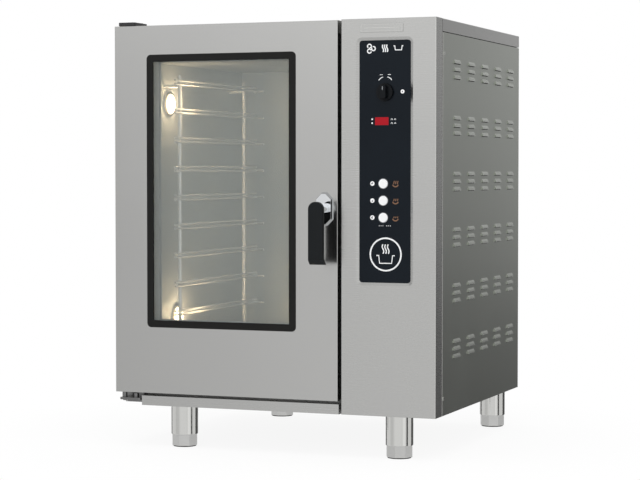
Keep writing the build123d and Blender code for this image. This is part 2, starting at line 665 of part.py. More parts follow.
def door_shell():
    leaf = (0, DOOR_WIDTH, DOOR_Z0, DOOR_Z1)
    shell = round_front(plate(leaf, 0, DOOR_THICKNESS), EDGE_ROUND)
    shell -= plate(inset(leaf, SHEET), SHEET, DOOR_THICKNESS + 1)
    shell -= plate(inset(WINDOW, TRIM_LIP), -1, SHEET + 1, WINDOW_RADIUS - TRIM_LIP)
    shell -= rod_z(HINGE_X, HINGE_Y, DOOR_Z0 - 1, DOOR_Z1 + 1, BUSH_RADIUS)
    return shell - rod_y(HANDLE_X, -1, SHEET + 1, HANDLE_Z, SPINDLE_RADIUS + 1)


def door_inner_panel():
    leaf = (0, DOOR_WIDTH, DOOR_Z0, DOOR_Z1)
    panel = plate(inset(leaf, SHEET + FIT_GAP), INNER_PANEL_Y, DOOR_THICKNESS)
    panel -= plate(inset(WINDOW, TRIM_WIDTH), INNER_PANEL_Y - 1, DOOR_THICKNESS + 1)
    return panel - rod_y(HANDLE_X, INNER_PANEL_Y - 1, DOOR_THICKNESS + 1, HANDLE_Z, SPINDLE_RADIUS + 1)


def glass_rect():
    return inset(WINDOW, TRIM_WIDTH - GLASS_GRIP)


def window_frame():
    face = frame_plate(WINDOW, 0, TRIM_WIDTH, -TRIM_PROUD, 0, WINDOW_RADIUS)
    web = frame_plate(WINDOW, TRIM_LIP, TRIM_WIDTH, 0, TRIM_FACE, WINDOW_RADIUS)
    seat = frame_plate(WINDOW, TRIM_LIP, TRIM_WIDTH - GLASS_GRIP, TRIM_FACE, OUTER_GLASS_BACK, WINDOW_RADIUS)
    trim = face + web + seat
    return round_front(trim, TRIM_PROUD / 2)


def outer_glass():
    return plate(inset(glass_rect(), FIT_GAP), TRIM_FACE, OUTER_GLASS_BACK)


def glass_spacer():
    middle = TRIM_WIDTH - GLASS_GRIP / 2
    return frame_plate(WINDOW, middle - SPACER_WALL, middle, OUTER_GLASS_BACK, INNER_GLASS_Y)


def inner_glass():
    return plate(glass_rect(), INNER_GLASS_Y, INNER_PANEL_Y)


def flanged_bush(flange_z0, body_z0):
    body = rod_z(HINGE_X, HINGE_Y, body_z0, body_z0 + BUSH_LENGTH, BUSH_RADIUS)
    flange = rod_z(HINGE_X, HINGE_Y, flange_z0, flange_z0 + BUSH_FLANGE, BUSH_FLANGE_RADIUS)
    bore_radius = HINGE_PIN_RADIUS + RUNNING_GAP
    return body + flange - rod_z(HINGE_X, HINGE_Y, body_z0 - 2, body_z0 + BUSH_LENGTH + 2, bore_radius)


def hinge_bushes():
    lower = flanged_bush(DOOR_Z0 - BUSH_FLANGE, DOOR_Z0)
    upper = flanged_bush(DOOR_Z1, DOOR_Z1 - BUSH_LENGTH)
    return group(lower, upper)


def bracket_plate(z0, z1, y1, width):
    """A flat plate round the hinge axis, its two front corners rounded."""
    body = block(BRACKET_X, BRACKET_X + width, BRACKET_FRONT, y1, z0, z1)
    corners = body.edges().filter_by(Axis.Z).sort_by(Axis.Y)[:2]
    return fillet(corners, HINGE_X - BRACKET_X)


def hinge_bracket_lower():
    z0 = BASE_Z + BRACKET_RISE
    z1 = z0 + BRACKET_PLATE
    foot_top = BASE_Z + SHEET + BRACKET_FOOT_HEIGHT
    foot_front = FRAME_Y - BRACKET_FOOT
    foot = block(BRACKET_X, BRACKET_X + BRACKET_WIDTH, foot_front, FRAME_Y, BASE_Z + SHEET, foot_top)
    collar = rod_z(HINGE_X, HINGE_Y, z1, DOOR_Z0 - BUSH_FLANGE - FIT_GAP, HINGE_COLLAR_RADIUS)
    pin = rod_z(HINGE_X, HINGE_Y, z0 - PIN_HEAD, DOOR_Z0 + BUSH_LENGTH, HINGE_PIN_RADIUS)
    stop = rod_z(STOP_POST_X, HINGE_Y, z1, z1 + STOP_POST_HEIGHT, STOP_POST_RADIUS)
    return bracket_plate(z0, z1, FRAME_Y, BRACKET_WIDTH) + foot + collar + pin + stop


def hinge_bracket_upper():
    top = TOP_Z + UPPER_BRACKET_PLATE
    pin = rod_z(HINGE_X, HINGE_Y, DOOR_Z1 - BUSH_LENGTH, top, HINGE_PIN_RADIUS)
    return bracket_plate(TOP_Z, top, UPPER_BRACKET_BACK, UPPER_BRACKET_WIDTH) + pin


def handle_rosette():
    corners = Rectangle(ROSETTE_WIDTH, ROSETTE_HEIGHT)
    outline = chamfer(corners.vertices(), ROSETTE_CORNER)
    body = extrude(Plane.XZ * Pos(HANDLE_X, HANDLE_Z) * outline, amount=ROSETTE_DEPTH, taper=ROSETTE_TAPER)
    return body - rod_y(HANDLE_X, -ROSETTE_DEPTH - 1, 1, HANDLE_Z, SPINDLE_RADIUS + RUNNING_GAP)


def handle_neck():
    neck = rod_y(HANDLE_X, -GRIP_CLEAR - GRIP_SOCKET, -ROSETTE_DEPTH - FIT_GAP, HANDLE_Z, NECK_RADIUS)
    spindle = rod_y(HANDLE_X, -ROSETTE_DEPTH - FIT_GAP, FINGER_BACK, HANDLE_Z, SPINDLE_RADIUS)
    return neck + spindle


def handle_grip():
    """A flat paddle, rounded at the top, whose lower tip turns in towards the door."""
    half = GRIP_WIDTH / 2
    z0 = HANDLE_Z - GRIP_BELOW
    z1 = HANDLE_Z + GRIP_ABOVE
    bend = z0 + GRIP_TIP
    tip = -GRIP_FRONT + GRIP_TIP
    profile = Polygon((-GRIP_FRONT, z1), (-GRIP_FRONT, bend), (tip, z0), (tip + GRIP_THICKNESS, z0),
                      (-GRIP_CLEAR, bend), (-GRIP_CLEAR, z1), align=None)
    grip = extrude(Plane.YZ.offset(HANDLE_X - half) * profile, amount=GRIP_WIDTH)
    crown = grip.edges().filter_by(Axis.Y).sort_by(Axis.Z)[-2:]
    grip = fillet(crown, GRIP_CROWN)
    grip = round_front(grip, GRIP_ROUND)
    return grip - rod_y(HANDLE_X, -GRIP_CLEAR - GRIP_SOCKET, -GRIP_CLEAR + 1, HANDLE_Z, NECK_RADIUS)


def latch_cam():
    hub = rod_y(HANDLE_X, FINGER_Y, FINGER_BACK, HANDLE_Z, FINGER_HUB)
    half = FINGER_WIDTH / 2
    nose = block(HANDLE_X - half, HANDLE_X + half, FINGER_Y, FINGER_BACK, HANDLE_Z, HANDLE_Z + FINGER_REACH)
    reach = rod_y(HANDLE_X, FINGER_Y - 1, FINGER_BACK + 1, HANDLE_Z, FINGER_REACH)
    return (hub + nose & reach) - rod_y(HANDLE_X, FINGER_Y - 1, FINGER_BACK + 1, HANDLE_Z, SPINDLE_RADIUS)


def latch_keeper():
    """A cup let into the front frame, with a lip across its top that the nose turns up behind."""
    mouth = (KEEPER_X0, KEEPER_X1, KEEPER_Z0, KEEPER_Z1)
    cup = plate(inset(mouth, -SHEET), FRAME_Y, KEEPER_BACK + SHEET)
    flange = plate(inset(mouth, -KEEPER_FLANGE), FRAME_Y - SHEET, FRAME_Y)
    hollow = plate(mouth, FRAME_Y - SHEET - 1, KEEPER_BACK)
    lip_back = FRAME_Y + KEEPER_LIP_DEPTH - SHEET
    lip = plate((KEEPER_X0, KEEPER_X1, KEEPER_LIP_Z, KEEPER_Z1), FRAME_Y - SHEET, lip_back)
    return cup + flange - hollow + lip


def control_fascia():
    front = (COLUMN_X, BODY_WIDTH, BASE_Z, TOP_Z)
    shell = round_front(plate(front, 0, FLANGE_DEPTH), EDGE_ROUND)
    shell -= plate(inset(front, SHEET), SHEET, FLANGE_DEPTH + 1)
    shell += block(COLUMN_X, DIVIDER_BACK, FLANGE_DEPTH, FRAME_Y, BASE_Z + PAN_HEIGHT, TOP_Z - TOP_LIP)
    rim = PANEL_BEVEL + PANEL_RIM
    shell += plate(inset(PANEL, -rim), SHEET, LEDGE_BACK, PANEL_RADIUS + rim)
    angle = math.degrees(math.atan2(PANEL_BEVEL, PANEL_SINK))
    face = Plane.XZ.offset(-PANEL_SINK) * Pos((PANEL[0] + PANEL[1]) / 2, (PANEL[2] + PANEL[3]) / 2)
    outline = RectangleRounded(PANEL_WIDTH, PANEL_HEIGHT, PANEL_RADIUS)
    shell -= extrude(face * outline, amount=PANEL_SINK, taper=-angle)
    shell -= plate(PANEL, 0, PANEL_BACK, PANEL_RADIUS)
    return shell - plate(inset(PANEL, PANEL_LEDGE), 0, LEDGE_BACK + 1, PANEL_RADIUS)


def control_panel():
    face = plate(inset(PANEL, FIT_GAP), PANEL_SINK, PANEL_BACK, PANEL_RADIUS)
    front = PANEL_SINK - 1
    back = PANEL_BACK + 1
    face -= rod_y(KNOB_X, front, back, BASE_Z + KNOB_RISE, KNOB_SHAFT_RADIUS + 1)
    face -= plate(DISPLAY, front, back)
    for rise in BUTTON_RISES:
        face -= rod_y(BUTTON_X, front, back, BASE_Z + rise, BUTTON_RADIUS + FIT_GAP)
        face -= rod_y(LENS_X, front, back, BASE_Z + rise, LENS_RADIUS)
    return face - rod_y(START_LENS[0], front, back, BASE_Z + START_LENS[1], START_LENS_RADIUS)


def display_window():
    return plate(inset(DISPLAY, FIT_GAP / 3), PANEL_SINK, PANEL_BACK)


def indicator_lenses():
    front = PANEL_SINK - LENS_PROUD
    lenses = [rod_y(LENS_X, front, PANEL_BACK, BASE_Z + rise, LENS_RADIUS) for rise in BUTTON_RISES]
    start = rod_y(START_LENS[0], front, PANEL_BACK, BASE_Z + START_LENS[1], START_LENS_RADIUS)
    return group(start, *lenses)


def button_bezels():
    rings = []
    inner = BUTTON_RADIUS + FIT_GAP
    for rise in BUTTON_RISES:
        z = BASE_Z + rise
        ring = rod_y(BUTTON_X, PANEL_SINK - BEZEL_PROUD, PANEL_SINK, z, inner + BEZEL_WIDTH)
        rings.append(ring - rod_y(BUTTON_X, 0, PANEL_SINK + 1, z, inner))
    return group(*rings)


def mode_button(rise):
    z = BASE_Z + rise
    collar_front = PANEL_BACK + FIT_GAP
    collar_back = collar_front + BUTTON_COLLAR
    cap = rod_y(BUTTON_X, PANEL_SINK - BUTTON_PROUD, collar_back, z, BUTTON_RADIUS)
    cap = fillet(cap.edges().sort_by(Axis.Y)[0], BUTTON_ROUND)
    collar = rod_y(BUTTON_X, collar_front, collar_back, z, COLLAR_RADIUS)
    tip = switch_front() - BUTTON_TRAVEL - FIT_GAP
    plunger = rod_y(BUTTON_X, collar_back, tip, z, BUTTON_PLUNGER_RADIUS)
    return cap + collar + plunger


def switch_front():
    """Front of the button switches: plunger tip, travel and a small gap ahead of the board."""
    return BOARD_Y - SWITCH_SIZE / 3


def control_knob():
    """A fluted dial with a grip bar across it."""
    back = PANEL_SINK - FIT_GAP
    middle = Plane.XZ.offset(-back) * Pos(KNOB_X, BASE_Z + KNOB_RISE)
    knob = extrude(middle * Circle(KNOB_RADIUS), amount=KNOB_DIAL, taper=KNOB_TAPER)
    reach = KNOB_RADIUS + KNOB_FLUTE_OUT
    for step in range(KNOB_GRIPS):
        turn = 2 * math.pi * step / KNOB_GRIPS
        x = KNOB_X + reach * math.cos(turn)
        z = BASE_Z + KNOB_RISE + reach * math.sin(turn)
        knob -= rod_y(x, back - KNOB_DIAL - 1, back - KNOB_SKIRT, z, KNOB_FLUTE_RADIUS)
    outline = RectangleRounded(KNOB_BAR, KNOB_BAR_LENGTH, KNOB_BAR_CORNER)
    bar = extrude(middle * outline, amount=KNOB_HEIGHT, taper=KNOB_TAPER)
    bar = fillet(bar.faces().sort_by(Axis.Y)[0].edges(), KNOB_ROUND)
    return knob + bar + rod_y(KNOB_X, back, BOARD_Y - FIT_GAP, BASE_Z + KNOB_RISE, KNOB_SHAFT_RADIUS)


def control_board():
    """Circuit board on four standoffs, with the knob's encoder, the switches and the display module."""
    x0 = PANEL[0] - PANEL_LEDGE
    x1 = PANEL[1] + PANEL_LEDGE
    z0 = BASE_Z + BOARD_RISE
    z1 = z0 + BOARD_HEIGHT
    pieces = [block(x0, x1, BOARD_Y, BOARD_Y + BOARD_THICKNESS, z0, z1)]
    for x in (x0 + STANDOFF_RADIUS, x1 - STANDOFF_RADIUS):
        for z in (z0 + SCREW_INSET, z1 - SCREW_INSET):
            pieces.append(rod_y(x, LEDGE_BACK, BOARD_Y, z, STANDOFF_RADIUS))
    half = SWITCH_SIZE / 2
    for rise in BUTTON_RISES:
        z = BASE_Z + rise
        pieces.append(block(BUTTON_X - half, BUTTON_X + half, switch_front(), BOARD_Y, z - half, z + half))
    knob_z = BASE_Z + KNOB_RISE
    encoder = block(KNOB_X - half, KNOB_X + half, PANEL_BACK, BOARD_Y, knob_z - half, knob_z + half)
    pieces.append(encoder - rod_y(KNOB_X, 0, BOARD_Y, knob_z, KNOB_SHAFT_RADIUS + RUNNING_GAP))
    pieces.append(plate(DISPLAY, PANEL_BACK, BOARD_Y))
    return group(*pieces)


def badge_plate():
    x1 = BADGE_X + BADGE_WIDTH
    z0 = BASE_Z + BADGE_RISE
    body = plate((BADGE_X, x1, z0, z0 + BADGE_HEIGHT), -BADGE_PROUD, 0, BADGE_CORNER)
    return round_front(body, BADGE_EDGE)


def drip_tray():
    x1 = DRIP_X + DRIP_WIDTH
    outside = block(DRIP_X, x1, 0, FRAME_Y, BASE_Z, BASE_Z + DRIP_HEIGHT)
    inside = block(DRIP_X + DRIP_SHEET, x1 - DRIP_SHEET, DRIP_SHEET, FRAME_Y - DRIP_SHEET,
                   BASE_Z + DRIP_SHEET, BASE_Z + DRIP_HEIGHT + 1)
    return outside - inside


def fan_baffle():
    slot = BAFFLE_EDGE_SLOT
    sheet = block(BAFFLE_X, BAFFLE_X + BAFFLE_SHEET, FRAME_BACK, CAVITY_BACK, CAVITY_Z0, CAVITY_Z1)
    for side in (CAVITY_Z0, CAVITY_Z1 - slot):
        sheet -= block(BAFFLE_X - 1, BAFFLE_X + BAFFLE_SHEET + 1,
                       FRAME_BACK + 4 * slot, CAVITY_BACK - 4 * slot, side, side + slot)
    for rise in FAN_RISES:
        z = BASE_Z + rise
        sheet -= rod_x(BAFFLE_X - 1, BAFFLE_X + BAFFLE_SHEET + 1, FAN_Y, z, FAN_EYE_RADIUS)
        for bar in range(-2, 3):
            y = FAN_Y + bar * FAN_EYE_RADIUS / 3
            sheet += block(BAFFLE_X, BAFFLE_X + BAFFLE_SHEET, y - GRILLE_BAR / 2, y + GRILLE_BAR / 2,
                           z - FAN_EYE_RADIUS, z + FAN_EYE_RADIUS)
    return sheet


def fan_wheel(rise):
    z = BASE_Z + rise
    disc = rod_x(FAN_BACK_X - BLADE_SHEET, FAN_BACK_X, FAN_Y, z, FAN_RADIUS)
    hub = rod_x(FAN_FRONT_X, FAN_BACK_X, FAN_Y, z, FAN_HUB_RADIUS)
    shaft = rod_x(FAN_FRONT_X, MOTOR_X + FAN_SHAFT_GRIP, FAN_Y, z, FAN_SHAFT_RADIUS)
    wheel = disc + hub + shaft
    length = FAN_RADIUS - FAN_EYE_RADIUS - BLADE_SHEET
    middle = (FAN_RADIUS + FAN_EYE_RADIUS) / 2 - BLADE_SHEET
    for step in range(FAN_BLADES):
        blade = Pos(0, middle, 0) * Box(FAN_DEPTH, length, BLADE_SHEET)
        spot = Pos((FAN_FRONT_X + FAN_BACK_X) / 2, FAN_Y, z) * Rot(360 / FAN_BLADES * step, 0, 0)
        wheel += spot * blade
    return wheel


def fan_motors():
    motors = []
    for rise in FAN_RISES:
        z = BASE_Z + rise
        boss = rod_x(CAVITY_RIGHT, MOTOR_X, FAN_Y, z, MOTOR_BOSS_RADIUS)
        flange = rod_x(MOTOR_X, MOTOR_X + MOTOR_FLANGE, FAN_Y, z, MOTOR_FLANGE_RADIUS)
        body = rod_x(MOTOR_X, MOTOR_X + MOTOR_LENGTH, FAN_Y, z, MOTOR_RADIUS)
        bore_end = MOTOR_X + FAN_SHAFT_GRIP + FIT_GAP
        bore = rod_x(CAVITY_RIGHT - 1, bore_end, FAN_Y, z, FAN_SHAFT_RADIUS + RUNNING_GAP)
        motors.append(boss + flange + body - bore)
    return group(*motors)


def heater_radius():
    return FAN_RADIUS + HEATER_CLEARANCE


def heater_tails():
    """Where the two tails of a ring heater leave through the liner wall."""
    return (FAN_Y - heater_radius(), FAN_Y + heater_radius())


def ring_heaters():
    """Rings of tube round each fan, joined by a link, with two tails out to the compartment."""
    pieces = []
    first_x = FAN_FRONT_X + HEATER_PITCH / 2
    last_x = first_x + (HEATER_TURNS - 1) * HEATER_PITCH
    for rise in FAN_RISES:
        z = BASE_Z + rise
        for turn in range(HEATER_TURNS):
            ring = Torus(heater_radius(), HEATER_TUBE_RADIUS)
            pieces.append(Pos(first_x + turn * HEATER_PITCH, FAN_Y, z) * Rot(0, 90, 0) * ring)
        for turn in range(HEATER_TURNS - 1):
            x = first_x + turn * HEATER_PITCH
            pieces.append(rod_x(x + HEATER_TUBE_RADIUS, x + HEATER_PITCH - HEATER_TUBE_RADIUS,
                                FAN_Y, z + heater_radius(), HEATER_TAIL_RADIUS))
        tail_front = last_x + HEATER_TUBE_RADIUS
        tail_end = DIVIDER_BACK + HEATER_TAIL
        for y in heater_tails():
            pieces.append(rod_x(tail_front, tail_end, y, z, HEATER_TAIL_RADIUS))
    return group(*pieces)


def tray_rack(post_x, inward, standoff):
    """Two posts hooked to the wall, and ten pairs of rails with a stop at the back of each."""
    low = BASE_Z + RACK_LOW_RISE - POST_MARGIN
    high = BASE_Z + RACK_LOW_RISE + (RACK_LEVELS - 1) * RACK_PITCH + RACK_PAIR_GAP + POST_MARGIN
    pieces = []
    wall_x = post_x - inward * (POST_RADIUS + standoff)
    for y in POST_YS:
        pieces.append(rod_z(post_x, y, low, high, POST_RADIUS))
        for z in (low + HOOK_INSET, high - HOOK_INSET):
            ends = sorted((wall_x, post_x - inward * POST_RADIUS))
            pieces.append(rod_x(ends[0], ends[1], y, z, HOOK_RADIUS))
    rail_x = post_x + inward * (POST_RADIUS + WIRE_RADIUS)
    for level in range(RACK_LEVELS):
        z = BASE_Z + RACK_LOW_RISE + level * RACK_PITCH
        pieces.append(rod_y(rail_x, RAIL_FRONT, RAIL_BACK, z, WIRE_RADIUS))
        pieces.append(rod_y(rail_x, RAIL_FRONT, RAIL_BACK, z + RACK_PAIR_GAP, WIRE_RADIUS))
        ends = sorted((rail_x, rail_x + inward * REAR_STOP))
        pieces.append(rod_x(ends[0], ends[1], RAIL_BACK + WIRE_RADIUS, z, WIRE_RADIUS))
    return group(*pieces)


def lamp_bezels():
    pieces = []
    for y, rise in LAMP_PLACES:
        z = BASE_Z + rise
        rim = rod_x(CAVITY_X, CAVITY_X + LAMP_BEZEL, y, z, LAMP_BEZEL_RADIUS)
        rim = fillet(rim.edges().sort_by(Axis.X)[-1], LAMP_BEZEL / 3)
        can = rod_x(CAVITY_X - LAMP_CAN_DEPTH, CAVITY_X, y, z, LAMP_CAN_RADIUS)
        seat = rod_x(CAVITY_X + LAMP_BEZEL / 3, CAVITY_X + LAMP_BEZEL + 1, y, z, LAMP_GLASS_RADIUS)
        inside = rod_x(CAVITY_X - LAMP_CAN_DEPTH + LAMP_CAN_WALL, CAVITY_X + LAMP_BEZEL, y, z,
                       LAMP_CAN_RADIUS - LAMP_CAN_WALL)
        pieces.append(rim + can - seat - inside)
    return group(*pieces)


def lamp_glasses():
    lenses = []
    for y, rise in LAMP_PLACES:
        x0 = CAVITY_X + LAMP_BEZEL / 3
        lens = rod_x(x0, x0 + LAMP_GLASS, y, BASE_Z + rise, LAMP_GLASS_RADIUS - RUNNING_GAP)
        lenses.append(fillet(lens.edges().sort_by(Axis.X)[-1], LAMP_GLASS / 3))
    return group(*lenses)


def temperature_probe():
    z = BASE_Z + PROBE_RISE
    back = CAVITY_BACK + LINER
    rod = rod_y(PROBE_X, CAVITY_BACK - PROBE_REACH, back + PROBE_TAIL, z, PROBE_RADIUS)
    collar = rod_y(PROBE_X, CAVITY_BACK - PROBE_COLLAR, CAVITY_BACK, z, PROBE_COLLAR_RADIUS)
    return rod + collar


def drain_pipe():
    """An elbow under the hole in the cavity floor and a pipe out through the rear panel, in five shells."""
    x = DRAIN_X
    y = DRAIN_Y
    z = BASE_Z + DRAIN_AXIS_RISE
    top = CAVITY_Z0 - LINER
    end = BODY_DEPTH + DRAIN_STUB
    bore = DRAIN_RADIUS - DRAIN_WALL
    run = DRAIN_RADIUS - SPIGOT_STEP
    pipe = rod_y(x, y, end, z, run) + rod_z(x, y, z, top, run) + Pos(x, y, z) * Sphere(run)
    pipe += rod_y(x, BODY_DEPTH, end, z, DRAIN_RADIUS)
    pipe -= rod_y(x, y, end + 1, z, bore) + rod_z(x, y, z, top + 1, bore) + Pos(x, y, z) * Sphere(bore)
    front = y - DRAIN_RADIUS
    left = block(x - DRAIN_RADIUS, x - DRAIN_CHORD, front, end, z - DRAIN_RADIUS, top)
    right = block(x + DRAIN_CHORD, x + DRAIN_RADIUS, front, end, z - DRAIN_RADIUS, top)
    under = block(x - DRAIN_CHORD, x + DRAIN_CHORD, front, end, z - DRAIN_RADIUS, z - DRAIN_CHORD)
    before = block(x - DRAIN_CHORD, x + DRAIN_CHORD, front, y - DRAIN_CHORD, z - DRAIN_CHORD, top)
    over = block(x - DRAIN_CHORD, x + DRAIN_CHORD, y - DRAIN_CHORD, end, z + DRAIN_CHORD, top)
    return group(*(pipe & part for part in (left, right, under, before, over)))


def vent_chimney():
    run = rod_z(VENT_X, VENT_Y, CAVITY_Z1 + LINER, TOP_Z, VENT_RADIUS - SPIGOT_STEP)
    pipe = run + rod_z(VENT_X, VENT_Y, TOP_Z, TOP_Z + VENT_STUB, VENT_RADIUS)
    return pipe - rod_z(VENT_X, VENT_Y, CAVITY_Z1, TOP_Z + VENT_STUB + 1, VENT_BORE)


def steam_pipe():
    """From the water valve across the back of the cavity, then forward into the fan space."""
    z = BASE_Z + STEAM_RISE
    across = rod_x(STEAM_X, WATER_X, STEAM_Y, z, STEAM_RADIUS)
    inward = rod_y(STEAM_X, STEAM_END_Y, STEAM_Y, z, STEAM_RADIUS)
    down = rod_z(WATER_X, STEAM_Y, BASE_Z + WATER_RISE + VALVE_SIZE / 2, z, STEAM_RADIUS)
    pipe = across + inward + down
    pipe += Pos(STEAM_X, STEAM_Y, z) * Sphere(STEAM_RADIUS)
    pipe += Pos(WATER_X, STEAM_Y, z) * Sphere(STEAM_RADIUS)
    return pipe - rod_y(STEAM_X, STEAM_END_Y - 1, STEAM_Y, z, STEAM_RADIUS - STEAM_WALL)


def water_valve():
    z = BASE_Z + WATER_RISE
    half = VALVE_SIZE / 2
    body = block(WATER_X - half, WATER_X + half, REAR_Y - VALVE_SIZE, REAR_Y, z - half, z + half)
    neck = rod_y(WATER_X, REAR_Y, BODY_DEPTH, z, WATER_RADIUS - SPIGOT_STEP)
    return body + neck + rod_y(WATER_X, BODY_DEPTH, BODY_DEPTH + WATER_STUB, z, WATER_RADIUS)


def cable_gland():
    z = BASE_Z + GLAND_RISE
    face = Plane.XZ.offset(-BODY_DEPTH - GLAND_STUB / 2) * Pos(GLAND_X, z) * RegularPolygon(GLAND_RADIUS, 6)
    nut = extrude(face, amount=GLAND_STUB / 2)
    dome = rod_y(GLAND_X, BODY_DEPTH, BODY_DEPTH + GLAND_STUB, z, GLAND_RADIUS - GLAND_ROUND)
    dome = fillet(dome.edges().sort_by(Axis.Y)[-1], GLAND_ROUND)
    return nut + dome - rod_y(GLAND_X, BODY_DEPTH - 1, BODY_DEPTH + GLAND_STUB + 1, z, GLAND_BORE)


def contactor_block():
    depth, height, width = CONTACTOR_SIZE
    z0 = BASE_Z + CONTACTOR_RISE
    base = block(DIVIDER_BACK, DIVIDER_BACK + width / 2, CONTACTOR_Y, CONTACTOR_Y + depth, z0, z0 + height)
    nose = block(DIVIDER_BACK + width / 2, DIVIDER_BACK + width, CONTACTOR_Y, CONTACTOR_Y + depth,
                 z0 + height / 4, z0 + height - height / 4)
    return base + nose


def terminal_block():
    depth, height, width = TERMINAL_SIZE
    z0 = BASE_Z + TERMINAL_RISE
    middle_y = TERMINAL_Y + depth / 2
    body = block(DIVIDER_BACK, DIVIDER_BACK + width, TERMINAL_Y, TERMINAL_Y + depth, z0, z0 + height)
    for way in range(TERMINAL_WAYS):
        z = z0 + height * (way + 0.5) / TERMINAL_WAYS
        body -= rod_x(DIVIDER_BACK + width / 2, DIVIDER_BACK + width + 1, middle_y, z, TERMINAL_HOLE)
    return body


def panel_screws():
    heads = []
    side_y = SIDE_Y + SCREW_INSET
    for rise in SIDE_SCREW_RISES:
        heads.append(rod_x(BODY_WIDTH, BODY_WIDTH + SCREW_HEAD, side_y, BASE_Z + rise, SCREW_RADIUS))
    for x in (SCREW_INSET, BODY_WIDTH / 2, BODY_WIDTH - SCREW_INSET):
        for z in (BASE_Z + SCREW_INSET, PANEL_TOP_Z - SCREW_INSET):
            heads.append(rod_y(x, BODY_DEPTH, BODY_DEPTH + SCREW_HEAD, z, SCREW_RADIUS))
    bracket_top = TOP_Z + UPPER_BRACKET_PLATE
    for x in (BRACKET_X + SCREW_INSET, BRACKET_X + UPPER_BRACKET_WIDTH - SCREW_INSET):
        y = UPPER_BRACKET_BACK - SCREW_INSET
        heads.append(rod_z(x, y, bracket_top, bracket_top + SCREW_HEAD, SCREW_RADIUS))
    return group(*heads)


NODES = {
    "base_pan": base_pan(),
    "leg_sleeves": leg_sleeves(),
    "side_panel_left": side_panel_left(),
    "side_panel_right": side_panel_right(),
    "rear_panel": rear_panel(),
    "top_cover": top_cover(),
    "divider": divider(),
    "front_frame": front_frame(),
    "cavity_liner": cavity_liner(),
    "insulation_jacket": insulation_jacket(),
    "door_gasket": door_gasket(),
    "control_fascia": control_fascia(),
    "control_panel": control_panel(),
    "display_window": display_window(),
    "indicator_lenses": indicator_lenses(),
    "button_bezels": button_bezels(),
    "control_board": control_board(),
    "badge_plate": badge_plate(),
    "drip_tray": drip_tray(),
    "fan_baffle": fan_baffle(),
    "fan_motors": fan_motors(),
    "ring_heaters": ring_heaters(),
    "tray_rack_left": tray_rack(LEFT_POST_X, 1, RACK_STANDOFF),
    "tray_rack_right": tray_rack(RIGHT_POST_X, -1, RACK_BAFFLE_STANDOFF),
    "lamp_bezels": lamp_bezels(),
    "lamp_glasses": lamp_glasses(),
    "temperature_probe": temperature_probe(),
    "drain_pipe": drain_pipe(),
    "vent_chimney": vent_chimney(),
    "steam_pipe": steam_pipe(),
    "water_valve": water_valve(),
    "cable_gland": cable_gland(),
    "contactor_block": contactor_block(),
    "terminal_block": terminal_block(),
    "panel_screws": panel_screws(),
    "hinge_bracket_lower": hinge_bracket_lower(),
    "hinge_bracket_upper": hinge_bracket_upper(),
    "latch_keeper": latch_keeper(),
    "door_shell": door_shell(),
    "door_inner_panel": door_inner_panel(),
    "window_frame": window_frame(),
    "outer_glass": outer_glass(),
    "glass_spacer": glass_spacer(),
    "inner_glass": inner_glass(),
    "hinge_bushes": hinge_bushes(),
    "handle_rosette": handle_rosette(),
    "handle_neck": handle_neck(),
    "handle_grip": handle_grip(),
    "latch_cam": latch_cam(),
    "control_knob": control_knob(),
}
for number, rise in enumerate(BUTTON_RISES, start=1):
    NODES[f"mode_button_{number}"] = mode_button(rise)
for place, rise in zip(("lower", "upper"), FAN_RISES):
    NODES[f"fan_wheel_{place}"] = fan_wheel(rise)
for place, (x, y) in LEG_PLACES.items():
    NODES[f"foot_{place}"] = levelling_foot(x, y)

os.makedirs("parts", exist_ok=True)
for name, shape in NODES.items():
    export_step(Pos(-ORIGIN_X, -ORIGIN_Y, 0) * shape, f"parts/{name}.step")
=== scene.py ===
import math

import bpy
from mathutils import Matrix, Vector


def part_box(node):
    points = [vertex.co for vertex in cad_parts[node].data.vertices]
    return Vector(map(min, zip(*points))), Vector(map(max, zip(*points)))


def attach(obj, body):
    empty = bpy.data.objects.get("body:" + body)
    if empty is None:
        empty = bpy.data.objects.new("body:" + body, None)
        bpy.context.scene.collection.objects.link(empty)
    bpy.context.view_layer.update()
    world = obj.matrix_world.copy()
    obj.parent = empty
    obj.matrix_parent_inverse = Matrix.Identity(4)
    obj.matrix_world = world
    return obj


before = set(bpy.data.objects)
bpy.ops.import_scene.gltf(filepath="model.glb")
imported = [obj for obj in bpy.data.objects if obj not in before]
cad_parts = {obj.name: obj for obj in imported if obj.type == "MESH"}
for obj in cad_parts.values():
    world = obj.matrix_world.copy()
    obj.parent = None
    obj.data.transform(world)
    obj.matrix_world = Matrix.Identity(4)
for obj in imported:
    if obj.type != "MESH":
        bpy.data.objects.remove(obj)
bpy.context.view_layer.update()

# ---------------------------------------------------------------- sizes, in metres

MM = 0.001
LAMP_RADIUS = 28.0 * MM
PAD_HEIGHT = 3.0 * MM        # the black rubber under each foot

# Printed marks
MARK_DEPTH = 0.25 * MM       # how far the marks stand off the black panel
FINE_LINE = 1.5 * MM
BOLD_LINE = 3.2 * MM
TITLE_DROP = 21.0 * MM       # the row of three pictograms below the panel's upper edge
TITLE_SHARES = (0.22, 0.50, 0.76)      # their places across the panel
KNOB_ARC_RADIUS = 17.0 * MM
KNOB_ARC_RISE = 22.0 * MM
KNOB_DASH_RISE = 45.0 * MM
DISPLAY_ROW = 5.0 * MM       # half the distance between the two rows beside the display
SCALE_DROP = 21.0 * MM       # the row of short lines below the lowest button
SCALE_PITCH = 5.0 * MM
RING_RADIUS = 42.0 * MM
RING_RISE = 73.5 * MM
RING_LINE = 4.2 * MM
RING_SHARE = 0.515
AMBER_GAP = 33.0 * MM        # brown pictograms to the right of the buttons
LENS_GAP = 30.0 * MM         # lenses to the left of the buttons
START_RADIUS = 5.2 * MM
POINTER_SINK = 0.1 * MM
BADGE_INSET = 3.0 * MM
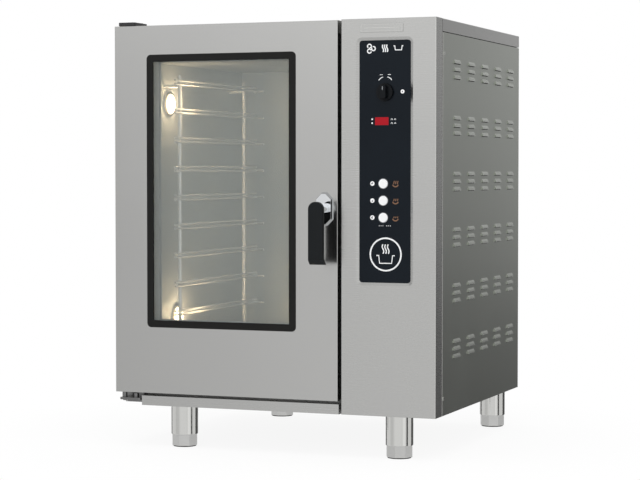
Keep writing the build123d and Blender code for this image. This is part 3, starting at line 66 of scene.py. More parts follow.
RIM_DEPTH = 0.8 * MM

# Louvres and beads of the right side panel
LOUVRE_PROUD = 4.5 * MM
LOUVRE_LENGTH = 56.0 * MM
LOUVRE_COLUMNS = 5
LOUVRE_CLUSTERS = 6
LOUVRE_SLATS = 3
COLUMN_PITCH = 129.3 * MM
CLUSTER_PITCH = 147.2 * MM
SLAT_PITCH = 20.0 * MM
LOUVRE_FIRST_AHEAD = 610.8 * MM       # first column ahead of the panel's rear edge
LOUVRE_TOP_DROP = 76.0 * MM
LIP_SHORTER = 8.0 * MM       # the lip ends this far inside each end of the louvre
SLOT_SHORTER = 1.0 * MM

# Stage
FLOOR_WHITE = 0.88           # how much of the floor is plain white to the camera, near the oven
FLOOR_FADE = 0.10
SPOT_WATTS = 2.6
GLOW_WATTS = 0.85
FILL_WATTS = 1.9
FILL_SIZE = (0.30, 0.70)
FILL_HEIGHT = 0.62
CAMERA_PLACE = (1.9796, -5.1290, 0.7534)
CAMERA_TURN = math.radians(21.178)
CAMERA_DIP = math.radians(2.083)
CAMERA_LENS = 109.585
CAMERA_SENSOR = 36.0


def corners(node):
    """The low and the high corner of a CAD node's box."""
    low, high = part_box(node)
    return Vector(low), Vector(high)


def middle(node):
    """The centre of a CAD node's box."""
    low, high = corners(node)
    return (low + high) / 2


PANEL_LOW, PANEL_HIGH = corners("control_panel")
PANEL_WIDTH = PANEL_HIGH.x - PANEL_LOW.x
DISPLAY_LOW, DISPLAY_HIGH = corners("display_window")
CAVITY_LOW, CAVITY_HIGH = corners("cavity_liner")
SIDE_LOW, SIDE_HIGH = corners("side_panel_right")


def lamp_centres():
    """The middle of each lamp's glass: one high at the front, one low at the back."""
    low, high = corners("lamp_glasses")
    near = Vector((high.x, low.y + LAMP_RADIUS, high.z - LAMP_RADIUS))
    far = Vector((high.x, high.y - LAMP_RADIUS, low.z + LAMP_RADIUS))
    return near, far


# ---------------------------------------------------------------- shader writing

class Value:
    """A shader socket that takes part in Python arithmetic."""

    def __init__(self, finish, socket):
        self.finish = finish
        self.socket = socket

    def math(self, operation, other=None, swapped=False):
        pair = (other, self) if swapped else (self, other)
        inputs = {place: value for place, value in enumerate(pair) if value is not None}
        return self.finish.node("ShaderNodeMath", {"operation": operation}, inputs)

    def __add__(self, other):
        return self.math("ADD", other)

    def __sub__(self, other):
        return self.math("SUBTRACT", other)

    def __rsub__(self, other):
        return self.math("SUBTRACT", other, swapped=True)

    def __mul__(self, other):
        return self.math("MULTIPLY", other)

    def __truediv__(self, other):
        return self.math("DIVIDE", other)

    def __pow__(self, other):
        return self.math("POWER", other)

    __radd__ = __add__
    __rmul__ = __mul__

    def above(self, limit):
        return self.math("GREATER_THAN", limit)

    def clamped(self):
        return self.math("MAXIMUM", 0.0).math("MINIMUM", 1.0)


class Finish:
    """One material, written node by node."""

    def __init__(self, name):
        self.material = bpy.data.materials.new(name)
        self.material.use_nodes = True
        self.tree = self.material.node_tree
        self.tree.nodes.clear()

    def node(self, kind, settings=None, inputs=None, output=0):
        made = self.tree.nodes.new(kind)
        for key, value in (settings or {}).items():
            if key == "stops":
                self.set_stops(made.color_ramp, value)
            else:
                setattr(made, key, value)
        for key, value in (inputs or {}).items():
            if isinstance(value, Value):
                self.tree.links.new(value.socket, made.inputs[key])
            else:
                made.inputs[key].default_value = value
        return Value(self, made.outputs[output]) if made.outputs else None

    @staticmethod
    def set_stops(ramp, stops):
        while len(ramp.elements) < len(stops):
            ramp.elements.new(0.5)
        for element, (position, colour) in zip(ramp.elements, stops):
            element.position = position
            element.color = (*colour, 1.0)

    def place(self, scale=(1.0, 1.0, 1.0), turn=(0.0, 0.0, 0.0)):
        """Object coordinates, stretched and turned."""
        at = self.node("ShaderNodeTexCoord", output="Object")
        return self.node("ShaderNodeMapping", inputs={"Vector": at, "Rotation": turn, "Scale": scale})

    def axis(self, letter):
        at = self.node("ShaderNodeTexCoord", output="Object")
        return self.node("ShaderNodeSeparateXYZ", inputs={0: at}, output=letter)

    def noise(self, scale, stretch=(1.0, 1.0, 1.0), detail=3.0, roughness=0.5):
        inputs = {"Vector": self.place(stretch), "Scale": scale, "Detail": detail,
                  "Roughness": roughness}
        return self.node("ShaderNodeTexNoise", {}, inputs)

    def ramp(self, factor, *stops):
        return self.node("ShaderNodeValToRGB", {"stops": stops}, {0: factor})

    def blend(self, factor, first, second):
        """A colour between two colours. The Mix node keeps its two colours at 6 and 7, the result at 2."""
        settings = {"data_type": "RGBA", "clamp_factor": True}
        inputs = {0: factor, 6: rgba(first), 7: rgba(second)}
        return self.node("ShaderNodeMix", settings, inputs, output=2)

    def bump(self, height, strength, distance):
        inputs = {"Height": height, "Strength": strength, "Distance": distance}
        return self.node("ShaderNodeBump", {}, inputs)

    def surface(self, **sockets):
        """The Principled shader, its sockets given in lower case with underscores."""
        inputs = {}
        for key, value in sockets.items():
            inputs[key.replace("_", " ").title().replace("Ior", "IOR")] = value
        shader = self.node("ShaderNodeBsdfPrincipled", {}, inputs)
        self.node("ShaderNodeOutputMaterial", {}, {0: shader})
        return self.material


def rgba(colour):
    """A colour as a four-part value, or a link left as it is."""
    return colour if isinstance(colour, Value) else (*colour, 1.0)


def tint(colour, factor):
    return tuple(part * factor for part in colour)


# ---------------------------------------------------------------- materials

def brushed_steel(name, colour, grain, roughness=0.24, streak=0.05, smudge=0.05, aniso=0.55,
                  metallic=1.0):
    """Rolled and brushed sheet: fine streaks along the grain, broad clouding, a few soft smudges."""
    finish = Finish(name)
    streaks = finish.noise(1.0, grain, detail=4.0, roughness=0.62)
    clouds = finish.noise(2.3, detail=2.0)
    wipes = finish.noise(5.5, (1.0, 1.0, 0.35), detail=3.0)
    worn = finish.ramp(wipes, (0.48, (0, 0, 0)), (0.72, (1, 1, 1)))
    tone = (streaks - 0.5) * streak * 2 + (clouds - 0.5) * 0.10 + 0.5
    base = finish.blend(tone, tint(colour, 0.80), tint(colour, 1.20))
    wear = finish.node("ShaderNodeRGBToBW", {}, {0: worn})
    rough = roughness + (streaks - 0.5) * 0.10 + wear * smudge
    relief = finish.bump(streaks, 0.05, 0.2 * MM)
    return finish.surface(base_color=base, metallic=metallic, roughness=rough, normal=relief,
                          anisotropic=aniso, anisotropic_rotation=0.25)


def polished_metal(name, colour, roughness=0.12, cloud=0.10, metallic=1.0, dents=0.05):
    """Bright plated or polished metal with faint handling marks."""
    finish = Finish(name)
    marks = finish.noise(38.0, detail=4.0)
    haze = finish.noise(7.0, detail=2.0)
    base = finish.blend(haze, tint(colour, 1.0 - cloud), colour)
    rough = roughness + (marks - 0.5) * 0.10
    relief = finish.bump(marks, dents, 0.1 * MM)
    return finish.surface(base_color=base, metallic=metallic, roughness=rough, normal=relief)


def moulded(name, colour, roughness, grain=900.0, relief=0.12, specular=0.5, cloud=0.25):
    """Moulded plastic or rubber with a fine skin texture."""
    finish = Finish(name)
    skin = finish.noise(grain, detail=2.0)
    haze = finish.noise(9.0, detail=3.0)
    base = finish.blend(haze, tint(colour, 1.0 - cloud), tint(colour, 1.0 + cloud))
    rough = roughness + (haze - 0.5) * 0.16
    return finish.surface(base_color=base, roughness=rough, specular_ior_level=specular,
                          normal=finish.bump(skin, relief, 0.1 * MM))


def glass_pane(name, colour, alpha, roughness=0.02):
    """Thin clear glass: mostly open, with a faint veil and wipe marks."""
    finish = Finish(name)
    wipes = finish.noise(3.0, (1.0, 1.0, 0.3), detail=3.0)
    veil = alpha + (wipes - 0.5) * 0.05
    return finish.surface(base_color=rgba(colour), roughness=roughness, alpha=veil, specular_ior_level=0.6)


def lamp_lens(name):
    """Two round lenses, white hot in the middle and amber at the rim."""
    finish = Finish(name)
    squares = [(finish.axis("Y") - centre.y) ** 2 + (finish.axis("Z") - centre.z) ** 2
               for centre in lamp_centres()]
    nearest = squares[0].math("MINIMUM", squares[1])
    rim = (nearest / (LAMP_RADIUS ** 2)).clamped()
    shine = finish.ramp(rim, (0.0, (1.0, 0.92, 0.72)), (0.35, (1.0, 0.80, 0.46)),
                        (1.0, (0.16, 0.10, 0.045)))
    return finish.surface(base_color=rgba((0.9, 0.85, 0.7)), roughness=0.3, emission_color=shine,
                          emission_strength=6.0)


def glowing(name, colour, light, strength, roughness=0.3, specular=0.1):
    """A lens that is lit from behind, a little unevenly."""
    finish = Finish(name)
    cells = finish.noise(60.0, detail=1.0)
    shine = finish.blend(cells, tint(light, 0.85), light)
    return finish.surface(base_color=rgba(colour), roughness=roughness, emission_color=shine,
                          emission_strength=strength, specular_ior_level=specular)


def leg_metal():
    """Steel feet that stand on a black rubber pad."""
    finish = Finish("leg_steel")
    fine = finish.noise(1.0, (60.0, 60.0, 900.0), detail=3.0)
    haze = finish.noise(14.0, detail=3.0)
    steel = finish.axis("Z").above(PAD_HEIGHT)
    turned = finish.blend(haze, (0.50, 0.50, 0.49), (0.66, 0.66, 0.65))
    base = finish.blend(steel, (0.012, 0.012, 0.012), turned)
    rough = 0.30 + (fine - 0.5) * 0.12 + (1 - steel) * 0.4
    return finish.surface(base_color=base, metallic=steel, roughness=rough,
                          normal=finish.bump(fine, 0.08, 0.1 * MM))


def mineral_wool():
    """Matted yellow fibres."""
    finish = Finish("mineral_wool")
    fibres = finish.noise(1.0, (40.0, 40.0, 900.0), detail=6.0)
    base = finish.blend(fibres, (0.36, 0.30, 0.14), (0.62, 0.55, 0.32))
    return finish.surface(base_color=base, roughness=0.95, normal=finish.bump(fibres, 0.6, 2.0 * MM))


def circuit_board():
    """Green lacquer with paler tracks."""
    finish = Finish("circuit_board")
    tracks = finish.node("ShaderNodeTexVoronoi", {"feature": "DISTANCE_TO_EDGE"},
                         {"Vector": finish.place((120.0, 120.0, 120.0)), "Scale": 1.0})
    copper = finish.ramp(tracks, (0.03, (0.10, 0.34, 0.16)), (0.08, (0.02, 0.16, 0.07)))
    return finish.surface(base_color=copper, roughness=0.4)


SHEET_GRAIN = (3.0, 3.0, 1400.0)      # streaks run level round the upright sheets
LID_GRAIN = (3.0, 1400.0, 3.0)        # and from side to side on the top cover
CASING_GRAIN = (900.0, 20.0, 20.0)
STEEL = (0.50, 0.50, 0.49)

MATERIALS = {
    "door_steel": brushed_steel("door_steel", STEEL, SHEET_GRAIN, roughness=0.20),
    "case_steel": brushed_steel("case_steel", STEEL, SHEET_GRAIN, roughness=0.26),
    "side_steel": brushed_steel("side_steel", (0.445, 0.465, 0.425), SHEET_GRAIN, 0.30),
    "lid_steel": brushed_steel("lid_steel", STEEL, LID_GRAIN, roughness=0.30),
    "cavity_steel": brushed_steel("cavity_steel", (0.40, 0.425, 0.425), SHEET_GRAIN, 0.31, smudge=0.08,
                                  metallic=0.78),
    # The front frame's steel is darkened to near black: painted shade for the dark gaps round the door.
    "frame_steel_painted_shade": brushed_steel("frame_steel_painted_shade", (0.13, 0.13, 0.13), SHEET_GRAIN, 0.35),
    "rack_wire": polished_metal("rack_wire", (0.86, 0.88, 0.87), 0.20, metallic=0.45),
    "chrome": polished_metal("chrome", (0.80, 0.82, 0.84), 0.06, dents=0.9),
    # The lower hinge bracket's zinc is darkened well below its own tone: painted shade for the dark gaps
    # round the hinge.
    "zinc_painted_shade": polished_metal("zinc_painted_shade", (0.22, 0.22, 0.22), 0.22),
    "leg_tube": polished_metal("leg_tube", (0.70, 0.70, 0.68), 0.10),
    "ring_metal": polished_metal("ring_metal", (0.30, 0.31, 0.33), 0.25),
    "bright_steel": polished_metal("bright_steel", (0.70, 0.70, 0.68), 0.22),
    # Near-black strips with no shine: painted shade in the louvres' mouths.
    "slot_painted_shade": moulded("slot_painted_shade", (0.004, 0.004, 0.004), 0.8, specular=0.0),
    "black_steel": moulded("black_steel", (0.015, 0.015, 0.016), 0.35, relief=0.2),
    "rubber": moulded("rubber", (0.0085, 0.0085, 0.008), 0.50, specular=0.15),
    "grip_plastic": moulded("grip_plastic", (0.0055, 0.0072, 0.0085), 0.42, grain=1400.0, specular=0.16),
    "knob_plastic": moulded("knob_plastic", (0.0035, 0.0045, 0.006), 0.38, specular=0.14),
    "panel_foil": moulded("panel_foil", (0.0048, 0.0080, 0.0125), 0.22, grain=2200.0, relief=0.05,
                          specular=0.12),
    "white_plastic": moulded("white_plastic", (0.86, 0.87, 0.88), 0.35, cloud=0.03),
    "white_ink": moulded("white_ink", (0.86, 0.87, 0.88), 0.45, cloud=0.04),
    "dark_ink": moulded("dark_ink", (0.02, 0.02, 0.025), 0.5),
    "pointer_ink": moulded("pointer_ink", (0.30, 0.32, 0.34), 0.5),
    "amber_ink": moulded("amber_ink", (0.22, 0.105, 0.05), 0.5),
    "display_red": glowing("display_red", (0.16, 0.004, 0.008), (0.42, 0.006, 0.014), 0.62, 0.35),
    "lens_white": glowing("lens_white", (0.80, 0.80, 0.80), (0.9, 0.9, 0.95), 0.15),
    "lamp_glass": lamp_lens("lamp_glass"),
    "window_glass": glass_pane("window_glass", (0.62, 0.66, 0.64), 0.10),
    "inner_glass": glass_pane("inner_glass", (0.56, 0.62, 0.60), 0.08),
    "leg_steel": leg_metal(),
    "mineral_wool": mineral_wool(),
    "circuit_board": circuit_board(),
    "motor_casing": brushed_steel("motor_casing", (0.42, 0.42, 0.43), CASING_GRAIN, 0.42, aniso=0.2),
    "grey_plastic": moulded("grey_plastic", (0.33, 0.33, 0.32), 0.5),
    "brass": polished_metal("brass", (0.68, 0.50, 0.22), 0.25),
}

NODE_FINISH = {
    "door_steel": ["door_shell"],
    "case_steel": ["control_fascia", "drip_tray", "divider", "base_pan", "badge_plate"],
    "frame_steel_painted_shade": ["front_frame"],
    "side_steel": ["side_panel_left", "side_panel_right", "rear_panel"],
    "lid_steel": ["top_cover"],
    "cavity_steel": ["cavity_liner", "fan_baffle", "door_inner_panel", "glass_spacer", "latch_keeper"],
    "rack_wire": ["tray_rack_left", "tray_rack_right"],
    "chrome": ["handle_rosette", "handle_neck"],
    "zinc_painted_shade": ["hinge_bracket_lower"],
    "leg_tube": ["leg_sleeves"],
    "ring_metal": ["button_bezels"],
    "bright_steel": ["temperature_probe", "drain_pipe", "vent_chimney", "steam_pipe",
                     "ring_heaters", "lamp_bezels", "latch_cam", "fan_wheel_upper", "fan_wheel_lower",
                     "panel_screws"],
    "black_steel": ["hinge_bracket_upper"],
    "rubber": ["window_frame", "door_gasket"],
    "grip_plastic": ["handle_grip"],
    "knob_plastic": ["control_knob", "cable_gland", "contactor_block"],
    "panel_foil": ["control_panel"],
    "white_plastic": ["mode_button_1", "mode_button_2", "mode_button_3"],
    "lens_white": ["indicator_lenses"],
    "display_red": ["display_window"],
    "lamp_glass": ["lamp_glasses"],
    "window_glass": ["outer_glass"],
    "inner_glass": ["inner_glass"],
    "leg_steel": ["foot_front_left", "foot_front_right", "foot_rear_left", "foot_rear_right"],
    "mineral_wool": ["insulation_jacket"],
    "circuit_board": ["control_board"],
    "motor_casing": ["fan_motors"],
    "grey_plastic": ["terminal_block"],
    "brass": ["water_valve", "hinge_bushes"],
}

for finish_name, node_names in NODE_FINISH.items():
    for node_name in node_names:
        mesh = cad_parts[node_name].data
        mesh.materials.clear()
        mesh.materials.append(MATERIALS[finish_name])


# ---------------------------------------------------------------- modelling helpers

def pick_none():
    """Deselects everything, because an operator acts on all that is selected."""
    bpy.ops.object.select_all(action="DESELECT")


def work_on(*pieces):
    """Selects just these pieces, the first of them active."""
    pick_none()
    for piece in pieces:
        piece.select_set(True)
    bpy.context.view_layer.objects.active = pieces[0]


def settle(piece):
    """Puts the piece's place into its mesh, so that its object sits at the origin."""
    work_on(piece)
    bpy.ops.object.transform_apply(location=True, rotation=True, scale=True)
    return piece


def dress(piece, name, finish, body):
    """Names a piece, gives it its finish and lets it ride on a CAD body."""
    piece.name = name
    piece.data.name = name
    piece.data.materials.clear()
    piece.data.materials.append(MATERIALS[finish])
    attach(piece, body)
    return piece


def stroke(points, width, closed=False, face=None, depth=MARK_DEPTH):
    """A printed or raised line on the black panel or another upright face, through points (x, z)."""
    pick_none()
    bpy.ops.curve.primitive_bezier_curve_add(location=(0, 0, 0))
    line = bpy.context.object
    curve = line.data
    curve.splines.clear()
    spline = curve.splines.new("POLY")
    spline.points.add(len(points) - 1)
    for point, (x, z) in zip(spline.points, points):
        point.co = (x, 0.0, z, 1.0)
    spline.use_cyclic_u = closed
    curve.dimensions = "3D"
    curve.bevel_depth = width / 2
    curve.bevel_resolution = 2
    curve.use_fill_caps = True
    work_on(line)
    bpy.ops.object.convert(target="MESH")
    line = bpy.context.object
    line.scale.y = depth / (width / 2)
    line.location.y = PANEL_LOW.y if face is None else face
    return settle(line)


def arc(centre, radius, start, end, steps=14):
    """Points on an arc, its angles in degrees, counted from +x towards +z."""
    points = []
    for step in range(steps + 1):
        angle = math.radians(start + (end - start) * step / steps)
        points.append((centre[0] + radius * math.cos(angle), centre[1] + radius * math.sin(angle)))
    return points


def joined(pieces):
    """One piece made of several."""
    work_on(*pieces)
    bpy.ops.object.join()
    return bpy.context.object


# ---------------------------------------------------------------- printed marks

def fan_mark(x, z, size, width):
    """Three curved blades round a hub."""
    lines = [stroke(arc((x, z), size * 0.12, 0, 360), width, closed=True)]
    for blade in range(3):
        turn = 120 * blade
        angle = math.radians(turn)
        centre = (x + size * 0.3 * math.cos(angle), z + size * 0.3 * math.sin(angle))
        lines.append(stroke(arc(centre, size * 0.22, turn - 150, turn + 110), width))
    return lines


def steam_mark(x, z, size, width):
    """Three rising waves."""
    lines = []
    for column in (-1, 0, 1):
        wave = []
        for step in range(13):
            rise = step / 12
            sway = 0.3 * column + 0.09 * math.sin(rise * 2 * math.pi)
            wave.append((x + size * sway, z + size * (rise - 0.5)))
        lines.append(stroke(wave, width))
    return lines


def pan_mark(x, z, size, width):
    """A deep tray with a lip."""
    half = size / 2
    tray = [(x - half, z + size * 0.1), (x - half * 0.76, z + size * 0.1), (x - half * 0.66, z - size * 0.3),
            (x + half * 0.66, z - size * 0.3), (x + half * 0.76, z + size * 0.1), (x + half, z + size * 0.1)]
    return [stroke(tray, width)]


def title_marks():
    """The row of three pictograms at the top of the panel: fan, steam and pan."""
    fan_x, steam_x, pan_x = (PANEL_LOW.x + PANEL_WIDTH * share for share in TITLE_SHARES)
    z = PANEL_HIGH.z - TITLE_DROP
    lines = fan_mark(fan_x, z, 24 * MM, BOLD_LINE)
    lines += steam_mark(steam_x, z, 19 * MM, BOLD_LINE)
    lines += pan_mark(pan_x, z + 3 * MM, 26 * MM, BOLD_LINE)
    return lines


def knob_marks():
    """Two arcs above the knob, each with a dash over it."""
    knob = middle("control_knob")
    lines = []
    for side, sweep in ((-1, (100, 150)), (1, (80, 30))):
        centre = (knob.x + side * 3 * MM, knob.z + KNOB_ARC_RISE)
        lines.append(stroke(arc(centre, KNOB_ARC_RADIUS, *sweep), 2.2 * MM))
        x = knob.x + side * 11 * MM
        z = knob.z + KNOB_DASH_RISE
        lines.append(stroke([(x - 4 * MM, z), (x + 4 * MM, z)], FINE_LINE))
    return lines


def display_marks():
    """Two dots to the left of the display and four chevrons to its right."""
    display = middle("display_window")
    lines = []
    for drop in (-DISPLAY_ROW, DISPLAY_ROW):
        dot = (DISPLAY_LOW.x - 8 * MM, display.z + drop)
        lines.append(stroke(arc(dot, 1.2 * MM, 0, 360), 2.2 * MM, closed=True))
    for column in (0, 1):
        for row in (-1, 1):
            x = DISPLAY_HIGH.x + (9 + 9 * column) * MM
            z = display.z + row * DISPLAY_ROW
            chevron = [(x - 2.6 * MM, z - 2 * MM), (x, z + 2 * MM), (x + 2.6 * MM, z - 2 * MM)]
            lines.append(stroke(chevron, FINE_LINE))
    return lines


def scale_marks():
    """Three short upright lines on each side below the lowest button."""
    button = middle("mode_button_3")
    lines = []
    for step in (-3, -2, -1, 1, 2, 3):
        x = button.x + 4 * MM + step * SCALE_PITCH
        z = button.z - SCALE_DROP
        lines.append(stroke([(x, z - 1.4 * MM), (x, z + 1.4 * MM)], FINE_LINE))
    return lines


def ring_mark():
    """A ring with a steaming pan in it, at the foot of the panel."""
    x = PANEL_LOW.x + PANEL_WIDTH * RING_SHARE
    z = PANEL_LOW.z + RING_RISE
    lines = [stroke(arc((x, z), RING_RADIUS, 0, 360, 64)[:-1], RING_LINE, closed=True)]
    lines += pan_mark(x, z - 8 * MM, 50 * MM, BOLD_LINE)
    lines += steam_mark(x, z + 14 * MM, 24 * MM, BOLD_LINE)
    return lines


def white_marks():
    """Everything that is printed in white on the panel."""
    lines = title_marks() + knob_marks() + display_marks() + scale_marks() + ring_mark()
    return dress(joined(lines), "panel_marks_white", "white_ink", "cabinet")


def amber_marks():
    """The small brown pictograms to the right of the buttons."""
    lines = []
    for number in (1, 2, 3):
        button = middle(f"mode_button_{number}")
        x = button.x + AMBER_GAP
        z = button.z
        lines.append(stroke(arc((x, z), 8 * MM, 200, 340), 3.0 * MM))
        for offset in (-5 * MM, 0.0, 5 * MM):
            top = z + (9 - 2 * number) * MM
            lines.append(stroke([(x + offset, z - 1 * MM), (x + offset + 2 * MM, top)], 2.4 * MM))
    return dress(joined(lines), "panel_marks_amber", "amber_ink", "cabinet")


def lens_marks():
    """Dark glyphs on the four small lenses: an arc with a tick on three, a cross on the start lens."""
    low, high = corners("indicator_lenses")
    face = low.y
    lines = []
    for number in (1, 2, 3):
        button = middle(f"mode_button_{number}")
        x = button.x - LENS_GAP
        z = button.z
        sweep = ((30, 250), (200, 340), (60, 300))[number - 1]
        lines.append(stroke(arc((x, z), 2.3 * MM, *sweep), 1.5 * MM, face=face))
        tick = [(x - 1.2 * MM, z - 0.6 * MM), (x + 1.6 * MM, z + 1.4 * MM)]
        lines.append(stroke(tick, 1.3 * MM, face=face))
    x = high.x - START_RADIUS
    z = middle("control_knob").z + 1 * MM
    lines.append(stroke([(x, z - 2 * MM), (x, z + 2 * MM)], 1.6 * MM, face=face))
    lines.append(stroke([(x - 2 * MM, z), (x + 2 * MM, z)], 1.4 * MM, face=face))
    return dress(joined(lines), "lens_marks", "dark_ink", "cabinet")


def knob_pointer():
    """A pale line on the knob's grip bar."""
    low = corners("control_knob")[0]
    knob = middle("control_knob")
    path = [(knob.x, knob.z + 5 * MM), (knob.x, knob.z + 14 * MM)]
    line = stroke(path, 1.8 * MM, face=low.y + POINTER_SINK)
    return dress(line, "knob_pointer", "pointer_ink", "knob")


def badge_rim():
    """A fine raised rim round the bare badge plate, and a plain rule across it."""
    low, high = corners("badge_plate")
    radius = 3 * MM
    left = low.x + BADGE_INSET
    right = high.x - BADGE_INSET
    x_pair = (left + radius, right - radius)
    z_pair = (low.z + BADGE_INSET + radius, high.z - BADGE_INSET - radius)
    path = []
    for turn, (x_side, z_side) in enumerate(((1, 1), (0, 1), (0, 0), (1, 0))):
        centre = (x_pair[x_side], z_pair[z_side])
        path += arc(centre, radius, 90 * turn, 90 * turn + 90, 4)
    face = low.y + MARK_DEPTH
    rim = [stroke(path, 1.6 * MM, closed=True, face=face, depth=RIM_DEPTH)]
    z = (low.z + high.z) / 2
    rule = [(left + 9 * MM, z), (right - 9 * MM, z)]
    rim.append(stroke(rule, 2.2 * MM, face=face, depth=RIM_DEPTH))
    return dress(joined(rim), "badge_rim", "bright_steel", "cabinet")


# ---------------------------------------------------------------- side panel details

def bar(low, high, rounding):
    """A slim bar between two corners, made from a cube, its edges rounded."""
    low = Vector(low)
    high = Vector(high)
    pick_none()
    bpy.ops.mesh.primitive_cube_add(size=1.0, location=(low + high) / 2)
    piece = bpy.context.object
    piece.scale = high - low
    settle(piece)
    bpy.ops.object.mode_set(mode="EDIT")
    bpy.ops.mesh.select_all(action="SELECT")
    bpy.ops.mesh.bevel(offset=rounding, segments=2)
    bpy.ops.object.mode_set(mode="OBJECT")
    return piece


def repeated(pattern, places):
    """Copies of one modelled piece at each place, every copy with its own mesh, joined in one."""
    copies = []
    for place in places:
        copy = pattern.copy()
        copy.data = pattern.data.copy()
        bpy.context.scene.collection.objects.link(copy)
        copy.location = place
        copies.append(settle(copy))
    bpy.data.objects.remove(pattern)
    return joined(copies)


def louvre_places():
    """The lower middle of each louvre's mouth, on the panel's outermost face."""
    places = []
    for column in range(LOUVRE_COLUMNS):
        y = SIDE_HIGH.y - LOUVRE_FIRST_AHEAD + column * COLUMN_PITCH
        for cluster in range(LOUVRE_CLUSTERS):
            top = SIDE_HIGH.z - LOUVRE_TOP_DROP - cluster * CLUSTER_PITCH
            for slat in range(LOUVRE_SLATS):
                places.append(Vector((SIDE_HIGH.x, y, top - slat * SLAT_PITCH)))
    return places


def louvre_trim():
    """A rolled lip of brighter steel, a painted highlight, and a black strip, painted shade in the mouth,
    under every louvre of the right side panel.
    """
    places = louvre_places()
    half = LOUVRE_LENGTH / 2 - LIP_SHORTER
    # Brighter steel than the side panel along each lip: a painted highlight.
    lip = bar((-1.3 * MM, -half, 0.0), (-0.1 * MM, half, 1.6 * MM), 0.4 * MM)
    dress(repeated(lip, places), "louvre_lip_highlights", "bright_steel", "cabinet")
    half = LOUVRE_LENGTH / 2 - SLOT_SHORTER
    sheet = -LOUVRE_PROUD
    # A black strip in each louvre's mouth: painted shade.
    slot = bar((sheet, -half, -1.4 * MM), (sheet + 0.8 * MM, half, 1.0 * MM), 0.3 * MM)
    dress(repeated(slot, places), "louvre_shade_strips", "slot_painted_shade", "cabinet")


def edge_highlight_beads():
    """Thin beads of brighter steel, painted highlights, where the fascia turns the corner and where the side
    panel begins.
    """
    fascia_low, fascia_high = corners("control_fascia")
    right = SIDE_HIGH.x - LOUVRE_PROUD
    corner = bar((right - 1.2 * MM, fascia_low.y - 0.3 * MM, fascia_low.z + 1 * MM),
                 (right + 0.5 * MM, fascia_low.y + 1.4 * MM, fascia_high.z - 1 * MM), 0.5 * MM)
    seam = bar((right - 0.3 * MM, SIDE_LOW.y - 0.2 * MM, SIDE_LOW.z + 1 * MM),
               (right + 1.0 * MM, SIDE_LOW.y + 1.6 * MM, SIDE_HIGH.z - 1 * MM), 0.5 * MM)
    dress(joined([corner, seam]), "edge_highlight_beads", "bright_steel", "cabinet")


louvre_trim()
edge_highlight_beads()
white_marks()
amber_marks()
lens_marks()
knob_pointer()
badge_rim()

# ---------------------------------------------------------------- stage

def white_room(name, soft_strength):
    """The world: plain white where it is seen, softer as a light."""
    world = bpy.data.worlds.new(name)
    bpy.context.scene.world = world
    world.use_nodes = True
    nodes = world.node_tree.nodes
    links = world.node_tree.links
    nodes.clear()
    ray = nodes.new("ShaderNodeLightPath")
    seen = nodes.new("ShaderNodeMath")
    seen.operation = "ADD"
    seen.use_clamp = True
    links.new(ray.outputs["Is Camera Ray"], seen.inputs[0])
    links.new(ray.outputs["Is Transmission Ray"], seen.inputs[1])
    level = nodes.new("ShaderNodeMapRange")
    links.new(seen.outputs[0], level.inputs[0])
    level.inputs["To Min"].default_value = soft_strength
    level.inputs["To Max"].default_value = 1.0
    background = nodes.new("ShaderNodeBackground")
    background.inputs[0].default_value = (1, 1, 1, 1)
    links.new(level.outputs[0], background.inputs[1])
    output = nodes.new("ShaderNodeOutputWorld")
    links.new(background.outputs[0], output.inputs[0])


def studio_floor():
    """A pale floor that reads white, keeps the oven's shadow and fades out all round."""
    bpy.ops.mesh.primitive_plane_add(size=40, location=(0, 0, -0.0005))
    floor = bpy.context.object
    floor.name = "studio_floor"
    finish = Finish("studio_floor")
    straight = finish.node("ShaderNodeLightPath", output="Is Camera Ray")
    through = finish.node("ShaderNodeLightPath", output="Is Transmission Ray")
    seen = (straight + through).clamped()
    away = (finish.axis("X") ** 2 + finish.axis("Y") ** 2) * FLOOR_FADE
    white_share = (away + FLOOR_WHITE).clamped()
    matte = finish.node("ShaderNodeBsdfDiffuse", {}, {0: (0.88, 0.88, 0.88, 1)})
    white = finish.node("ShaderNodeEmission", {}, {0: (1, 1, 1, 1), 1: 1.0})
    mix = finish.node("ShaderNodeMixShader", {}, {0: seen * white_share, 1: matte, 2: white})
    finish.node("ShaderNodeOutputMaterial", {}, {0: mix})
    floor.data.materials.append(finish.material)
    floor.visible_glossy = False


def soft_box(name, place, aim, size, radiance):
    """A large even light whose face has the given brightness."""
    light = bpy.data.lights.new(name, "AREA")
    light.shape = "RECTANGLE"
    light.size, light.size_y = size
    light.energy = radiance * math.pi * size[0] * size[1]
    lamp = bpy.data.objects.new(name, light)
    bpy.context.scene.collection.objects.link(lamp)
    lamp.location = place
    lamp.rotation_euler = (Vector(aim) - Vector(place)).to_track_quat("-Z", "Y").to_euler()
    lamp.visible_glossy = False


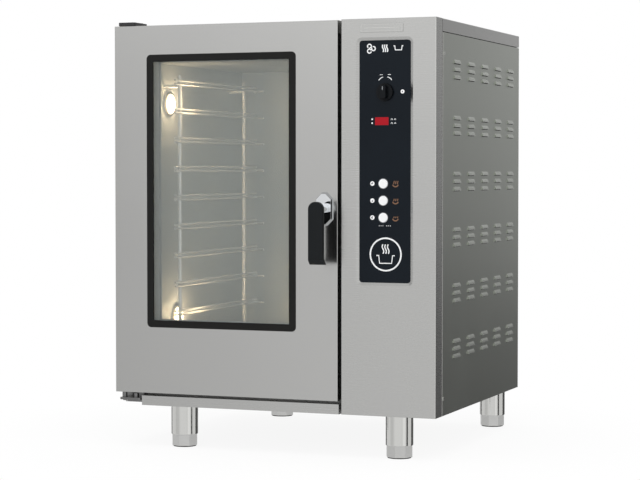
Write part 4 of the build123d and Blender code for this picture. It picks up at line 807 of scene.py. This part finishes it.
def mirror_card(name, place, size, along, across, rise):
    """A glowing board that only mirrors show.

    Its brightness is the product of two rows of stops, (metres, brightness), one along it, one up it.
    """
    bpy.ops.mesh.primitive_plane_add(size=1.0, location=place)
    card = bpy.context.object
    card.name = name
    card.scale = (size[0], size[1], 1.0)
    card.rotation_euler = (math.pi / 2, 0.0, 0.0 if along == "X" else math.pi / 2)
    settle(card)
    finish = Finish(name)
    levels = []
    for letter, stops in ((along, across), ("Z", rise)):
        first = stops[0][0]
        span = stops[-1][0] - first
        greys = [((at - first) / span, (level, level, level)) for at, level in stops]
        levels.append(finish.ramp((finish.axis(letter) - first) / span, *greys))
    product = {"operation": "MULTIPLY"}
    colour = finish.node("ShaderNodeVectorMath", product, {0: levels[0], 1: levels[1]})
    glow = finish.node("ShaderNodeEmission", {}, {0: colour, 1: 1.0})
    finish.node("ShaderNodeOutputMaterial", {}, {0: glow})
    card.data.materials.append(finish.material)
    card.visible_camera = False
    card.visible_diffuse = False
    card.visible_shadow = False
    card.visible_transmission = False


def warm_point(name, place, watts, radius):
    """A small warm light inside the cavity."""
    light = bpy.data.lights.new(name, "POINT")
    light.energy = watts
    light.color = (1.0, 0.74, 0.44)
    light.shadow_soft_size = radius
    lamp = bpy.data.objects.new(name, light)
    bpy.context.scene.collection.objects.link(lamp)
    lamp.location = place
    lamp.visible_glossy = False


def cavity_lamps():
    """Warm light from the two lamps on the left wall, each with a hot spot close to its glass."""
    for centre in lamp_centres():
        warm_point("lamp_spot", centre + Vector((22 * MM, 0, 0)), SPOT_WATTS, 8 * MM)
        warm_point("lamp_glow", centre + Vector((90 * MM, 0, 0)), GLOW_WATTS, 30 * MM)


def cavity_fill():
    """A soft pale light from the cavity's right wall that picks out the racks."""
    light = bpy.data.lights.new("cavity_fill", "AREA")
    light.shape = "RECTANGLE"
    light.size, light.size_y = FILL_SIZE
    light.energy = FILL_WATTS
    light.color = (0.80, 0.92, 1.0)
    lamp = bpy.data.objects.new("cavity_fill", light)
    bpy.context.scene.collection.objects.link(lamp)
    middle_y = (CAVITY_LOW.y + CAVITY_HIGH.y) / 2
    lamp.location = (CAVITY_HIGH.x - 20 * MM, middle_y - 50 * MM, FILL_HEIGHT)
    lamp.rotation_euler = (0.0, math.pi / 2, 0.0)
    lamp.visible_glossy = False
    lamp.visible_camera = False


def front_camera():
    """A long lens, in front and to the right of the oven, a little above its middle."""
    camera = bpy.data.cameras.new("camera")
    camera.lens = CAMERA_LENS
    camera.sensor_width = CAMERA_SENSOR
    holder = bpy.data.objects.new("camera", camera)
    bpy.context.scene.collection.objects.link(holder)
    holder.location = CAMERA_PLACE
    holder.rotation_euler = (math.pi / 2 - CAMERA_DIP, 0.0, CAMERA_TURN)
    bpy.context.scene.camera = holder


bpy.context.scene.view_settings.view_transform = "Standard"
front_camera()
white_room("white_room", 0.80)
studio_floor()
soft_box("front_box", (-0.4, -4.6, 2.0), (0, 0, 0.7), (2.6, 2.6), 1.15)
soft_box("top_box", (0.2, -0.6, 3.4), (0.1, 0, 0.6), (3.0, 3.0), 1.8)
mirror_card("front_card", (-2.0, -5.0, 1.0), (12.0, 7.0), "X",
            ((-8.0, 0.74), (-3.0, 0.76), (-1.6, 0.92), (-1.0, 0.96), (4.0, 0.96)),
            ((-2.5, 0.90), (-0.6, 0.90), (0.0, 0.94), (0.6, 0.92), (1.2, 1.00), (1.6, 1.25), (4.5, 1.30)))
mirror_card("right_front_card", (4.2, -3.0, 1.0), (2.4, 7.0), "Y", ((-4.2, 1.0), (-1.8, 1.0)),
            ((-2.5, 1.0), (4.5, 1.0)))
mirror_card("side_card", (2.2, 3.5, 1.0), (4.6, 7.0), "X",
            ((-0.1, 1.6), (1.26, 1.5), (1.52, 0.84), (4.5, 0.86)),
            ((-2.5, 0.10), (-0.35, 0.11), (0.05, 0.15), (0.35, 0.26), (0.75, 0.33), (1.35, 0.43),
             (4.5, 0.60)))
mirror_card("right_strip", (4.0, -0.6, 1.0), (0.9, 7.0), "Y", ((-1.2, 0.06), (0.0, 0.06)),
            ((-2.5, 1.0), (4.5, 1.0)))
mirror_card("left_strip", (-4.0, 2.2, 1.0), (2.0, 7.0), "Y", ((1.2, 0.10), (3.2, 0.10)),
            ((-2.5, 1.0), (4.5, 1.0)))
cavity_lamps()
cavity_fill()
